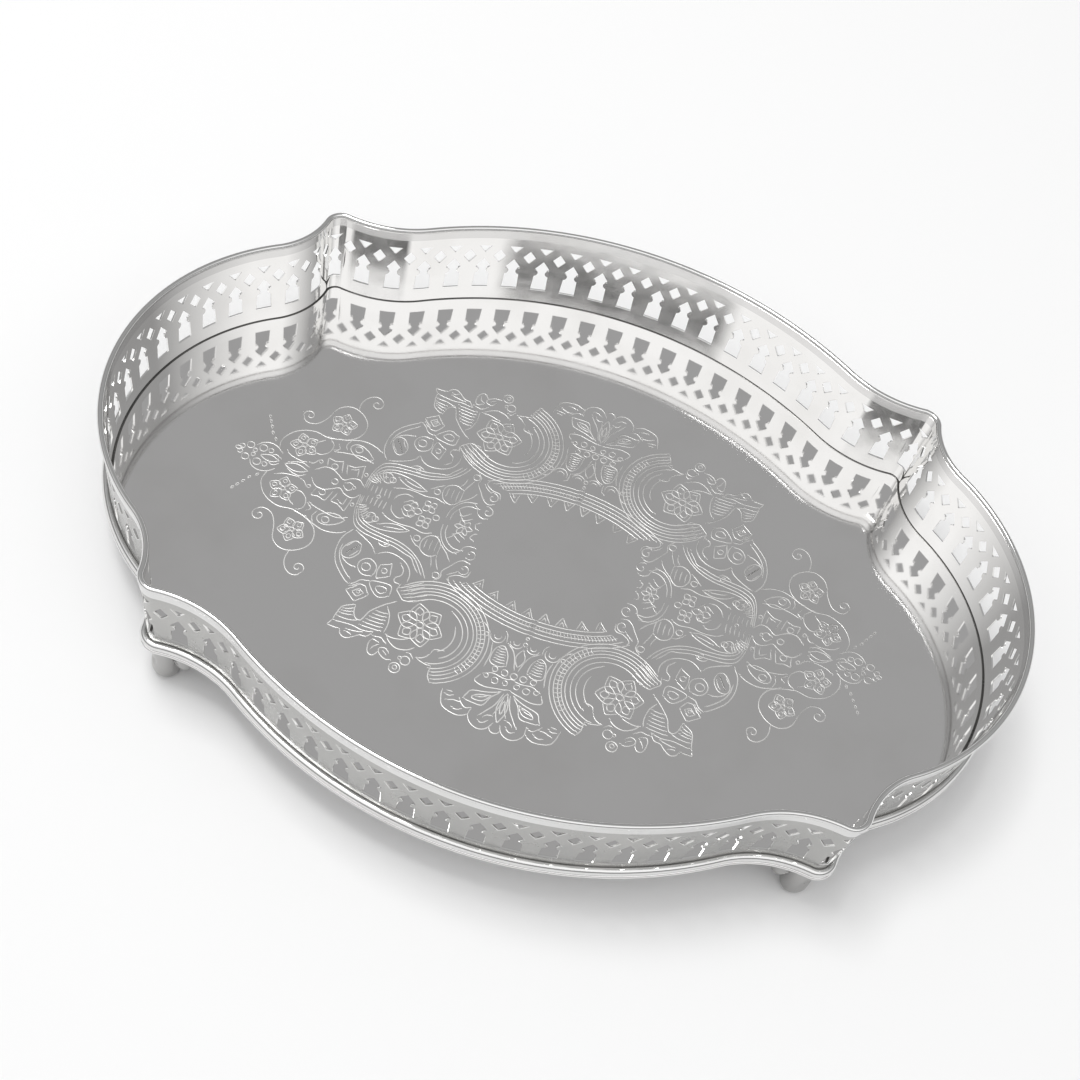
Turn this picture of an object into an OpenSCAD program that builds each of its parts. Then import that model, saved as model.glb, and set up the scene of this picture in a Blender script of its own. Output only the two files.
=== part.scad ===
// Gallery serving tray: a cartouche-shaped floor pan inside a pierced wall, with a wire rim along
// the top, a half-round moulding round the foot of the wall and a cast foot under each corner.
// Frame: the origin is on the table under the middle of the tray, X runs along it and Z is up.

/* [Floor pan] */
// Length of the floor, between the wall's inner faces
floor_length = 400; // [320:1:490]
// Width of the floor, between the wall's inner faces
floor_width = 291; // [235:1:360]
// Thickness of the floor sheet
floor_thickness = 1.0; // [0.8:0.1:1.6]
// Radius of the rolled edge that shows below the moulding
rolled_edge_r = 0.9; // [0.7:0.05:1.1]
// How far the rolled edge's middle lies outside the floor outline
rolled_edge_out = 3.2; // [2.9:0.1:4]

/* [Corners] */
// Distance from the end of the floor to the middle of a corner's curve
corner_inset_x = 59.4; // [49:0.2:72]
// Distance from the side of the floor to the middle of a corner's curve
corner_inset_y = 43.8; // [36:0.2:53]
// Radius of the corner's own curve
corner_r = 5; // [4:0.1:6.2]
// Radius of the hollow curve between a corner and a long side
side_notch_r = 58; // [48:0.5:70]
// Radius of the hollow curve between a corner and an end
end_notch_r = 37; // [30:0.2:45]
// Rise of the long side's curve, from a corner's middle to the middle of the side
side_rise = 64; // [54:0.1:76]
// Rise of the end's curve, from its hollows to the middle of the end
end_rise = 48.2; // [41:0.1:56]
// How far below a corner's middle the end's curve is measured
end_curve_drop = 20.2; // [17:0.1:24]

/* [Pierced wall] */
// Height of the wall, from the floor to the middle of the rim wire
wall_height = 46.2; // [36:0.2:56]
// Thickness of the wall
wall_thickness = 0.9; // [0.7:0.05:1.2]
// How far the wall leans out over its height
wall_flare = 1.6; // [0:0.1:3]
// Distance from one tall opening to the next, before it is rounded to a whole number
opening_pitch = 14.5; // [12.5:0.1:18]
// Height of the plain band below the openings
plain_band = 8.3; // [5:0.1:10]
// Height of a tall opening
tall_opening_h = 19; // [14:0.5:21]
// Width of a tall opening at its foot
tall_opening_w = 7.5; // [6:0.1:8.5]
// Width of a tall opening at its neck, between the round lugs
neck_w = 3.5; // [2.6:0.1:4.2]
// Radius of the round lugs that pinch the neck
lug_r = 2.1; // [1.6:0.05:2.4]
// Height of the lugs above the foot of the opening
lug_h = 11.4; // [9:0.1:12]
// Width of a diamond opening
diamond_w = 6; // [4:0.1:6.6]
// Height of a diamond opening
diamond_h = 8; // [5:0.1:8.6]
// Height of the diamond's middle above the tip of the tall openings
diamond_rise = 1.8; // [0.5:0.1:3]
// Width of a triangle opening
triangle_w = 6.2; // [4:0.1:6.8]
// Height of a triangle opening
triangle_h = 4.1; // [3:0.1:4.6]
// Distance from the tip of a tall opening up to the triangle above it
strap_cross_h = 4.3; // [3.4:0.1:5]

/* [Rim wire] */
// Radius of the rim wire
rim_r = 1.35; // [1:0.05:1.8]
// Height of the thin band below the wire that grips the wall
rim_band_h = 4; // [2.5:0.1:5]
// Thickness of that band on each face of the wall
rim_band_t = 0.45; // [0.3:0.05:0.7]

/* [Base moulding] */
// Radius of the half-round moulding
moulding_r = 2.0; // [1.7:0.05:2.2]
// Height of the moulding's middle above the floor
moulding_h = 2.2; // [2:0.05:2.8]
// How far the moulding's middle lies outside the floor outline
moulding_out = 2.0; // [1.7:0.05:2.4]

/* [Feet] */
// Height of the floor's underside above the table
stand_height = 24; // [18:0.5:30]
// How far a foot's middle lies from the corner's middle, along the tray
foot_shift_x = -2.1; // [-3:0.1:1]
// How far a foot's middle lies outside the corner's middle, across the tray
foot_shift_y = 1.4; // [0:0.1:2.5]
// Radius of the foot's middle lobe
lobe_r = 6.3; // [5:0.1:7]
// Radius of the flat sole
sole_r = 2.4; // [1.5:0.1:3.5]
// Radius of the two side lobes
wing_r = 4.2; // [3.2:0.1:4.8]
// Distance from the middle lobe to a side lobe
wing_reach = 8.8; // [7:0.1:10]
// Height of the side lobes' lowest point above the table
wing_clear = 11; // [8:0.5:14]
// Radius of the flange that is soldered under the floor
flange_r = 7.5; // [6.5:0.1:9]
// Thickness of the flange
flange_t = 1.4; // [1:0.1:2]

/* [Hidden] */
$fn = 96;
silver = [0.83, 0.83, 0.82];
floor_silver = [0.72, 0.72, 0.71];
deg = 180 / PI;
// Steps round each arc of a quarter, and round the curved sections
end_steps = 12;
side_steps = 12;
notch_steps = 6;
corner_steps = 8;
seam_steps = 2;
wire_steps = 8;
moulding_steps = 8;
rolled_edge_step_a = 36;

// Levels above the table
floor_top = stand_height + floor_thickness;
rim_z = floor_top + wall_height;
wall_top = rim_z - rim_r / 2;
openings_z = floor_top + plain_band;
// How far a cutter reaches past the wall's faces
cut_past = 2;
// How much narrower the head of a tall opening is than its foot, on each side
head_in = 0.45;
// Height of the straight part of its head above the lugs
head_h = 0.9;
// Angle at which the moulding's curve starts
moulding_a0 = -80;
// Share of its radius that a lobe of a foot keeps at its top
lobe_waist = 0.86;
// Radius of the flat under a side lobe
wing_sole_r = 0.6;
// Directions of the side lobes, and shift of the flange, from the middle lobe
wing_ways = [[-1, 0.12], [0.12, -1]];
flange_shift = [-2, -5];
// Offset at which the openings are spaced out
pattern_out = wall_flare / 2 + wall_thickness / 2;

// The outline is twelve tangent arcs: an arc on each side and end, one at each corner and two
// hollows beside it. These are the ones of the quarter with X and Y both positive.
half_l = floor_length / 2;
half_w = floor_width / 2;
corner = [half_l - corner_inset_x, half_w - corner_inset_y];
side_r = (corner.x ^ 2 + side_rise ^ 2) / (2 * side_rise);
side_c = [0, half_w - side_r];
end_half = corner.y - end_curve_drop;
end_r = (end_half ^ 2 + end_rise ^ 2) / (2 * end_rise);
end_c = [half_l - end_r, 0];
side_notch = meeting(side_c, side_r + side_notch_r, corner, corner_r + side_notch_r, 1);
end_notch = meeting(end_c, end_r + end_notch_r, corner, corner_r + end_notch_r, -1);

// Where two circles meet, on the left (turn 1) or the right (turn -1) of the line between them
function meeting(c0, r0, c1, r1, turn) =
    let (d = norm(c1 - c0), a = (r0 ^ 2 - r1 ^ 2 + d ^ 2) / (2 * d), h = sqrt(r0 ^ 2 - a ^ 2))
    let (along = (c1 - c0) / d)
    c0 + a * along + turn * h * [-along.y, along.x];

// Direction from one point to another
function heading(from, to) = atan2(to.y - from.y, to.x - from.x);
// The same direction, from 0 to 360 degrees
function full_turn(a) = a < 0 ? a + 360 : a;

// Angles at which the arcs meet
side_end_a = heading(side_c, side_notch);
end_end_a = heading(end_c, end_notch);
corner_a0 = heading(corner, end_notch);
corner_a1 = heading(corner, side_notch);
side_notch_a0 = full_turn(heading(side_notch, side_c));
side_notch_a1 = full_turn(heading(side_notch, corner));
end_notch_a0 = full_turn(heading(end_notch, corner));
end_notch_a1 = full_turn(heading(end_notch, end_c));

// Lengths along the wall, from the middle of a side to the middle of a corner
side_part = (90 - side_end_a) / deg * (side_r + pattern_out);
side_notch_part = (side_notch_a1 - side_notch_a0) / deg * (side_notch_r - pattern_out);
end_part = end_end_a / deg * (end_r + pattern_out);
end_notch_part = (end_notch_a1 - end_notch_a0) / deg * (end_notch_r - pattern_out);
corner_part = (corner_a1 - corner_a0) / 2 / deg * (corner_r + pattern_out);
side_half = side_part + side_notch_part + corner_part;
end_half_run = end_part + end_notch_part + corner_part;
// A tall opening stands at every corner. A pillar stands at the middle of each long side, and a
// tall opening at the middle of each end.
side_count = 2 * floor(side_half / opening_pitch) + 1;
end_count = 2 * round(end_half_run / opening_pitch);
side_pitch = 2 * side_half / side_count;
end_pitch = 2 * end_half_run / end_count;
// The pieces of the wall meet on the first pillar beyond each corner, in the long side's hollow
seam_a = side_notch_a1 - (side_pitch / 2 - corner_part) / (side_notch_r - pattern_out) * deg;

// [middle, angle, radius, outward] of the wall at a length from the middle of the side or the end
function side_place(s) =
    s <= side_part
        ? [side_c, 90 - s / (side_r + pattern_out) * deg, side_r, 1]
    : [side_notch, side_notch_a0 + (s - side_part) / (side_notch_r - pattern_out) * deg,
            side_notch_r, -1];
function end_place(s) =
    s <= end_part
        ? [end_c, s / (end_r + pattern_out) * deg, end_r, 1]
    : s <= end_part + end_notch_part
        ? [end_notch, end_notch_a1 - (s - end_part) / (end_notch_r - pattern_out) * deg,
            end_notch_r, -1]
    : [corner, corner_a0 + (s - end_part - end_notch_part) / (corner_r + pattern_out) * deg,
            corner_r, 1];

// ---- The outline as stations, each a point and its outward direction, in order round the tray
function arc_stations(middle, r, a0, a1, steps, way) =
    [for (k = [0 : steps]) let (a = a0 + (a1 - a0) * k / steps, d = [cos(a), sin(a)])
        [middle + r * d, way * d]];
// One list after another, where the second starts at the station that ends the first
function joined(first, second) = concat(first, [for (k = [1 : len(second) - 1]) second[k]]);
function flipped(stations, by) =
    [for (k = [len(stations) - 1 : -1 : 0])
        [[stations[k][0].x * by.x, stations[k][0].y * by.y],
            [stations[k][1].x * by.x, stations[k][1].y * by.y]]];
end_quarter = joined(joined(
    arc_stations(end_c, end_r, 0, end_end_a, end_steps, 1),
    arc_stations(end_notch, end_notch_r, end_notch_a1, end_notch_a0, notch_steps, -1)),
    joined(arc_stations(corner, corner_r, corner_a0, corner_a1, corner_steps, 1),
        arc_stations(side_notch, side_notch_r, side_notch_a1, seam_a, seam_steps, -1)));
side_quarter = joined(
    arc_stations(side_notch, side_notch_r, seam_a, side_notch_a0, notch_steps, -1),
    arc_stations(side_c, side_r, side_end_a, 90, side_steps, 1));
end_stations = joined(flipped(end_quarter, [1, -1]), end_quarter);
side_stations = joined(side_quarter, flipped(side_quarter, [-1, 1]));
half_loop = joined(end_stations, side_stations);
all_stations = joined(half_loop, [for (s = half_loop) [-s[0], -s[1]]]);

// A section point, [outwards, up], at a station
function placed(s, p) = [s[0].x + p.x * s[1].x, s[0].y + p.x * s[1].y, p.y];
// The faces between neighbouring stations, for a section of n points listed anticlockwise
function side_faces(n, stations) =
    [for (k = [0 : stations - 2]) for (i = [0 : n - 1]) let (j = (i + 1) % n)
        [k * n + i, k * n + j, (k + 1) * n + j, (k + 1) * n + i]];
// Sweeps a section; each cap is a list of faces on the section, so that it may be hollowed
module sweep(stations, section, cap) {
    n = len(section);
    last = (len(stations) - 1) * n;
    polyhedron([for (s = stations) for (p = section) placed(s, p)],
        concat(side_faces(n, len(stations)),
            [for (f = cap) [for (k = [len(f) - 1 : -1 : 0]) f[k]]],
            [for (f = cap) [for (i = f) last + i]]));
}
module closed_sweep(stations, section) {
    n = len(section);
    turns = len(stations) - 1;
    polyhedron([for (k = [0 : turns - 1]) for (p = section) placed(stations[k], p)],
        [for (k = [0 : turns - 1]) for (i = [0 : n - 1]) let (j = (i + 1) % n, m = (k + 1) % turns)
            [k * n + i, k * n + j, m * n + j, m * n + i]]);
}
function fan_cap(n) = [[for (i = [0 : n - 1]) i]];
// Cap of a section whose first half runs along one side and whose second half runs back
function strip_cap(n) = [for (i = [0 : n / 2 - 2]) [i, i + 1, n - 2 - i, n - 1 - i]];

// ---- Sections, each a list of [outwards, up]
function wall_in(z) = wall_flare * (z - floor_top) / wall_height;
function wall_out(z) = wall_in(z) + wall_thickness;
wall_section = [[wall_in(floor_top), floor_top], [wall_out(floor_top), floor_top],
    [wall_out(wall_top), wall_top], [wall_in(wall_top), wall_top]];

rim_mid = wall_in(rim_z) + wall_thickness / 2;
band_half = wall_thickness / 2 + rim_band_t;
band_foot = rim_z - rim_r - rim_band_h;
// Angle at which the wire's curve leaves the band
wire_a = -acos(band_half / rim_r);
rim_outside = concat([[wall_out(band_foot) + rim_band_t, band_foot]],
    [for (k = [0 : wire_steps]) let (a = wire_a + (180 - 2 * wire_a) * k / wire_steps)
        [rim_mid + rim_r * cos(a), rim_z + rim_r * sin(a)]],
    [[wall_in(band_foot) - rim_band_t, band_foot]]);
rim_inside = concat([[wall_in(band_foot), band_foot]],
    [for (k = [0 : wire_steps]) [wall_in(wall_top) + wall_thickness * k / wire_steps, wall_top]],
    [[wall_out(band_foot), band_foot]]);
rim_section = concat(rim_outside, rim_inside);

moulding_z = floor_top + moulding_h;
// Height at which the moulding's curve meets the wall's leaning outer face
lean = wall_flare / wall_height;
out_gap = wall_out(moulding_z) - moulding_out;
slope = 1 + lean ^ 2;
meet_root = sqrt((lean * out_gap) ^ 2 - slope * (out_gap ^ 2 - moulding_r ^ 2));
meet_rise = (meet_root - lean * out_gap) / slope;
meet_a = atan2(meet_rise, out_gap + lean * meet_rise);
moulding_section = concat([[wall_out(floor_top), floor_top], [moulding_out, floor_top]],
    [for (k = [0 : moulding_steps]) let (a = moulding_a0 + (meet_a - moulding_a0) * k / moulding_steps)
        [moulding_out + moulding_r * cos(a), moulding_z + moulding_r * sin(a)]]);
rolled_edge_section = [for (a = [0 : rolled_edge_step_a : 359])
    [rolled_edge_out + rolled_edge_r * cos(a), floor_top - floor_thickness / 2 + rolled_edge_r * sin(a)]];

// ---- Openings, drawn on the unrolled wall with Y up from the foot of the tall ones
module tall_opening() {
    half = tall_opening_w / 2;
    head = half - head_in;
    shoulder_h = lug_h + lug_r + head_h;
    difference() {
        polygon([[-half, 0], [half, 0], [head, shoulder_h], [0, tall_opening_h], [-head, shoulder_h]]);
        for (m = [-1, 1]) translate([m * (neck_w / 2 + lug_r), lug_h]) circle(r = lug_r);
    }
}
module diamond_opening()
    translate([0, tall_opening_h + diamond_rise])
        polygon([[0, -diamond_h / 2], [diamond_w / 2, 0], [0, diamond_h / 2], [-diamond_w / 2, 0]]);
module triangle_opening()
    translate([0, tall_opening_h + strap_cross_h])
        polygon([[0, 0], [triangle_w / 2, triangle_h], [-triangle_w / 2, triangle_h]]);
// Cuts its child, an opening, through the wall at a place along it
module through_wall(place)
    translate([place[0].x, place[0].y, openings_z]) rotate([0, 0, place[1]])
        translate([place[2] + place[3] * pattern_out, 0, 0]) rotate([90, 0, 90])
            linear_extrude(2 * (pattern_out + cut_past), center = true) children();
module long_openings()
    for (m = [0, 1]) mirror([m, 0, 0])
        for (k = [0 : floor(side_count / 2) - 1]) {
            tall = side_place(side_half - (k + 1) * side_pitch);
            through_wall(tall) tall_opening();
            through_wall(tall) triangle_opening();
        }
module long_diamonds() {
    for (m = [0, 1]) mirror([m, 0, 0])
        for (k = [0 : floor(side_count / 2) - 1])
            through_wall(side_place(side_half - (k + 0.5) * side_pitch)) diamond_opening();
    through_wall(side_place(0)) diamond_opening();
}
module end_openings() {
    for (m = [0, 1]) mirror([0, m, 0])
        for (k = [0 : end_count / 2 - 1]) {
            tall = end_place(end_half_run - k * end_pitch);
            through_wall(tall) tall_opening();
            through_wall(tall) triangle_opening();
        }
    through_wall(end_place(0)) tall_opening();
    through_wall(end_place(0)) triangle_opening();
}
module end_diamonds()
    for (m = [0, 1]) mirror([0, m, 0]) {
        for (k = [0 : end_count / 2 - 1])
            through_wall(end_place(end_half_run - (k + 0.5) * end_pitch)) diamond_opening();
        through_wall(side_place(side_half - side_pitch / 2)) diamond_opening();
    }

// ---- The floor pan: a sheet whose edge is rolled round a wire
module tray_floor() color(floor_silver) {
    translate([0, 0, stand_height]) linear_extrude(floor_thickness)
        polygon([for (k = [1 : len(all_stations) - 1])
            all_stations[k][0] + rolled_edge_out * all_stations[k][1]]);
    closed_sweep(all_stations, rolled_edge_section);
}

// ---- The wall, the rim and the moulding, each in four pieces
module long_gallery() color(silver) difference() {
    sweep(side_stations, wall_section, fan_cap(len(wall_section)));
    long_openings();
    long_diamonds();
}
module end_gallery() color(silver) difference() {
    sweep(end_stations, wall_section, fan_cap(len(wall_section)));
    end_openings();
    end_diamonds();
}
module gallery_back() long_gallery();
module gallery_front() mirror([0, 1, 0]) long_gallery();
module gallery_right() end_gallery();
module gallery_left() mirror([1, 0, 0]) end_gallery();
module rim(stations) color(silver) sweep(stations, rim_section, strip_cap(len(rim_section)));
module rim_back() rim(side_stations);
module rim_front() mirror([0, 1, 0]) rim(side_stations);
module rim_right() rim(end_stations);
module rim_left() mirror([1, 0, 0]) rim(end_stations);
module moulding(stations) color(silver) sweep(stations, moulding_section, fan_cap(len(moulding_section)));
module moulding_back() moulding(side_stations);
module moulding_front() mirror([0, 1, 0]) moulding(side_stations);
module moulding_right() moulding(end_stations);
module moulding_left() mirror([1, 0, 0]) moulding(end_stations);

// ---- The feet
// Half the outline of a lobe, from a flat of radius flat_r at z0, round to the widest part, and
// straight up to the top
function lobe_outline(r, flat_r, z0, top) =
    concat([[0, z0]], [for (a = [0 : 10 : 90]) [flat_r + (r - flat_r) * sin(a), z0 + r * (1 - cos(a))]],
        [[r * lobe_waist, top], [0, top]]);
module foot(mx, my) color(silver) mirror([mx, 0, 0]) mirror([0, my, 0])
    translate([corner.x + foot_shift_x, corner.y + foot_shift_y, 0]) {
        rotate_extrude() polygon(lobe_outline(lobe_r, sole_r, 0, stand_height));
        for (away = wing_ways)
            translate(wing_reach * away / norm(away))
                rotate_extrude() polygon(lobe_outline(wing_r, wing_sole_r, wing_clear, stand_height));
        translate([flange_shift.x, flange_shift.y, stand_height - flange_t]) cylinder(r = flange_r, h = flange_t);
    }
module foot_back_left() foot(1, 0);
module foot_back_right() foot(0, 0);
module foot_front_left() foot(1, 1);
module foot_front_right() foot(0, 1);

tray_floor();
gallery_back();
gallery_front();
gallery_left();
gallery_right();
rim_back();
rim_front();
rim_left();
rim_right();
moulding_back();
moulding_front();
moulding_left();
moulding_right();
foot_back_left();
foot_back_right();
foot_front_left();
foot_front_right();
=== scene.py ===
"""Gallery serving tray in silver plate: a shaped pan inside a pierced wall, with a wire rim, a
half-round moulding round the foot of the wall, four cast feet and a chased centre.

Everything is in metres and radians, in the frame of the packed model: the origin is on the table
under the middle of the tray, X runs along it, Y across it to the back, and Z is up.
"""
import math
from collections import namedtuple

import bpy
import numpy as np
from mathutils import Matrix, Vector
from mathutils.geometry import delaunay_2d_cdt


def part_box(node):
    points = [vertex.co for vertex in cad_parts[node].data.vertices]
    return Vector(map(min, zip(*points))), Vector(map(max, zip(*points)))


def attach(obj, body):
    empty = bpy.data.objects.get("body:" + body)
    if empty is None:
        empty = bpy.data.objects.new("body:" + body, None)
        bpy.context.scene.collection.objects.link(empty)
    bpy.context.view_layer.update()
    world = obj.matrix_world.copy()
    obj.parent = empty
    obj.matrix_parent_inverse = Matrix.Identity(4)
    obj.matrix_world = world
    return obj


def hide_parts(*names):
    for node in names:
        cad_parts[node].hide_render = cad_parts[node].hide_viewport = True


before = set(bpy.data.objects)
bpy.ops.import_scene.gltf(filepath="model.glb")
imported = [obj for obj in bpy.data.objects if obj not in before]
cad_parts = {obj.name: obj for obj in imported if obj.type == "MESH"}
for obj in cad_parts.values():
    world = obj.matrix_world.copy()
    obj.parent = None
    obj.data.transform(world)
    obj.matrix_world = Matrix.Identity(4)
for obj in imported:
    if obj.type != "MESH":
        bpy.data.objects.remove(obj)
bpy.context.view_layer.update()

bl_info = {
    "name": "Gallery Serving Tray",
    "version": (1, 0, 0),
    "blender": (4, 5, 0),
    "location": "View3D > Sidebar > Tray",
    "description": "Builds a silver-plated gallery tray from its sizes",
    "category": "Add Mesh",
}

BODY = "root"
SIDES = ("right", "back", "left", "front")
CORNERS = ("back_right", "back_left", "front_left", "front_right")
MM = 0.001
TURN = 2 * math.pi

# Sizes that the packed model gives
PAN_LOW, PAN_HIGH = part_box("tray_floor")
FLOOR_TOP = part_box("gallery_back")[0].z
RIM_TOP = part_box("rim_back")[1].z
FOOT_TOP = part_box("foot_back_right")[1].z
EDGE_OUT = 3.2 * MM
EDGE_R = 0.9 * MM
WIRE_R = 1.35 * MM
WALL_RISE = RIM_TOP - WIRE_R - FLOOR_TOP
WALL_TOP = RIM_TOP - 1.5 * WIRE_R


# ---------------------------------------------------------------- sizes and colours

def length(name, description, default):
    """A size in metres, shown in the scene's length unit."""
    return bpy.props.FloatProperty(
        name=name, description=description, default=default, min=0, precision=4, unit="LENGTH")


def share(name, description, default):
    """A plain number from 0 to 1."""
    return bpy.props.FloatProperty(
        name=name, description=description, default=default, min=0, max=1, subtype="FACTOR")


def colour(name, description, default):
    """A linear colour."""
    return bpy.props.FloatVectorProperty(
        name=name, description=description, default=default, min=0, max=1, size=3, subtype="COLOR")


def angle(name, description, degrees):
    """An angle, given in degrees and kept in radians."""
    return bpy.props.FloatProperty(
        name=name, description=description, default=math.radians(degrees), subtype="ANGLE")


class TrayPan(bpy.types.PropertyGroup):
    """The floor pan and its outline."""
    floor_length: length("Floor length", "Length between the wall's inner faces",
                         PAN_HIGH.x - PAN_LOW.x - 2 * (EDGE_OUT + EDGE_R))
    floor_width: length("Floor width", "Width between the wall's inner faces",
                        PAN_HIGH.y - PAN_LOW.y - 2 * (EDGE_OUT + EDGE_R))
    thickness: length("Thickness", "Thickness of the floor sheet", FLOOR_TOP - FOOT_TOP)
    edge_r: length("Rolled edge radius", "Radius of the rolled edge below the moulding", EDGE_R)
    edge_out: length("Rolled edge place", "Distance from the outline to the rolled edge's middle", EDGE_OUT)
    corner_inset_x: length("Corner inset along", "Distance from the end to a corner's middle", 59.4 * MM)
    corner_inset_y: length("Corner inset across", "Distance from the side to a corner's middle", 43.8 * MM)
    corner_r: length("Corner radius", "Radius of a corner's own curve", 5 * MM)
    side_notch_r: length("Side hollow radius", "Radius of the hollow beside a long side", 58 * MM)
    end_notch_r: length("End hollow radius", "Radius of the hollow beside an end", 37 * MM)
    side_rise: length("Side rise", "Rise of the long side's curve beyond the corners", 64 * MM)
    end_rise: length("End rise", "Rise of the end's curve beyond its hollows", 48.2 * MM)
    end_curve_drop: length("End curve drop", "Distance below a corner at which the end's curve is measured",
                           20.2 * MM)


class TrayWall(bpy.types.PropertyGroup):
    """The pierced wall."""
    thickness: length("Thickness", "Thickness of the wall", 0.9 * MM)
    flare: length("Flare", "How far the wall leans out over its height", 1.6 * MM)
    pitch: length("Pitch", "Distance between tall openings, before rounding to a whole number", 14.5 * MM)
    plain_band: length("Plain band", "Height of the plain band below the openings", 8.3 * MM)
    tall_h: length("Tall opening height", "Height of a tall opening", 19 * MM)
    tall_w: length("Tall opening width", "Width of a tall opening at its foot", 7.5 * MM)
    head_in: length("Head inset", "How much each side of the head is in from the foot", 0.45 * MM)
    head_h: length("Head height", "Straight part of the head above the lugs", 0.9 * MM)
    neck_w: length("Neck width", "Width of a tall opening between its lugs", 3.5 * MM)
    lug_r: length("Lug radius", "Radius of the round lugs that pinch the neck", 2.1 * MM)
    lug_h: length("Lug height", "Height of the lugs above the opening's foot", 11.4 * MM)
    diamond_w: length("Diamond width", "Width of a diamond opening", 6 * MM)
    diamond_h: length("Diamond height", "Height of a diamond opening", 8 * MM)
    diamond_rise: length("Diamond rise", "Diamond's middle above the tall openings' tips", 1.8 * MM)
    triangle_w: length("Triangle width", "Width of a triangle opening", 6.2 * MM)
    triangle_h: length("Triangle height", "Height of a triangle opening", 4.1 * MM)
    strap: length("Strap", "Distance from a tall opening's tip up to the triangle", 4.3 * MM)
    burr: length("Softened edge", "Width of the softened edge round each opening", 0.12 * MM)


class TrayTrim(bpy.types.PropertyGroup):
    """The rim wire and the base moulding."""
    wire_r: length("Wire radius", "Radius of the rim wire", WIRE_R)
    band_h: length("Band height", "Height of the thin band below the wire", 4 * MM)
    band_t: length("Band thickness", "Thickness of the band on each face of the wall", 0.45 * MM)
    moulding_r: length("Moulding radius", "Radius of the half-round moulding", 2 * MM)
    moulding_h: length("Moulding height", "Height of its middle above the floor", 2.2 * MM)
    moulding_out: length("Moulding place", "Distance from the outline to its middle", 2 * MM)
    seam_w: length("Seam width", "Width of the solder in the seam between the floor and the wall", 0.6 * MM)


class TrayFeet(bpy.types.PropertyGroup):
    """The four cast feet."""
    shift_x: length("Shift along", "Foot's middle inwards of the corner's middle, along the tray", 2.1 * MM)
    shift_y: length("Shift across", "Foot's middle outside the corner's middle, across the tray", 1.4 * MM)
    lobe_r: length("Lobe radius", "Radius of the middle lobe", 6.3 * MM)
    sole_r: length("Sole radius", "Radius of the flat sole", 2.4 * MM)
    wing_r: length("Wing radius", "Radius of the two side lobes", 4.2 * MM)
    wing_reach: length("Wing reach", "Distance from the middle lobe to a side lobe", 8.8 * MM)
    wing_clear: length("Wing clearance", "Height of the side lobes above the table", 11 * MM)
    flange_r: length("Flange radius", "Radius of the flange soldered under the floor", 7.5 * MM)
    flange_t: length("Flange thickness", "Thickness of the flange", 1.4 * MM)


class TrayChasing(bpy.types.PropertyGroup):
    """The chased centre."""
    shift_x: length("Shift along", "Chasing's middle from the floor's middle, along it", 2.4 * MM)
    shift_y: length("Shift across", "Chasing's middle from the floor's middle, to the front", 4.2 * MM)
    turn: angle("Turn", "Turn of the chasing on the floor, clockwise", 1.2)
    line_w: length("Line width", "Width of a chased line", 0.78 * MM)
    burr_h: length("Burr height", "Height of the burrs along a chased line", 0.07 * MM)


class TrayFinish(bpy.types.PropertyGroup):
    """Colours and gloss."""
    floor_tone: colour("Floor tone", "Reflection colour of the floor plate", (0.810, 0.802, 0.798))
    wall_tone: colour("Wall tone", "Reflection colour of the wall's inner face", (0.880, 0.878, 0.868))
    # Painted shade: the wall's outer face gets a far darker colour than its inner face, for the shade it is
    # seen in, though both are the same silver
    outer_shade_tone: colour("Outer tone", "Reflection colour of the wall's outer face", (0.430, 0.428, 0.418))
    trim_tone: colour("Trim tone", "Reflection colour of rim and moulding", (0.740, 0.738, 0.732))
    foot_tone: colour("Foot tone", "Reflection colour of the cast feet", (0.430, 0.426, 0.420))
    line_tone: colour("Line tone", "Reflection colour of the chased lines", (0.640, 0.635, 0.625))
    # Painted shade: the solder's near-black colour stands in for the shade in the crevices round the foot of
    # the wall
    seam_shade_tone: colour("Seam tone", "Reflection colour of the darkened solder", (0.110, 0.108, 0.104))
    tarnish: colour("Tarnish", "Colour that the silver drifts to in patches", (0.660, 0.648, 0.630))
    gloss: share("Roughness", "Roughness of the polished floor", 0.055)
    cloth_tone: colour("Table tone", "Colour of the pale floor that the tray stands on", (0.93, 0.93, 0.93))
    sky_tone: colour("Studio tone", "Colour of the studio round the tray", (1.0, 1.0, 1.0))


# ---------------------------------------------------------------- the outline

Arc = namedtuple("Arc", "middle radius start stop way")


def meeting(c0, r0, c1, r1, turn):
    """Where two circles meet, on the left (turn 1) or the right (turn -1) of the line between them."""
    gap = c1 - c0
    d = math.hypot(*gap)
    a = (r0 ** 2 - r1 ** 2 + d ** 2) / (2 * d)
    h = math.sqrt(r0 ** 2 - a ** 2)
    along = gap / d
    return c0 + a * along + turn * h * np.array([-along[1], along[0]])


def heading(start, end):
    """Direction from one point to another, from 0 to a full turn."""
    return math.atan2(end[1] - start[1], end[0] - start[0]) % TURN


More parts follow.
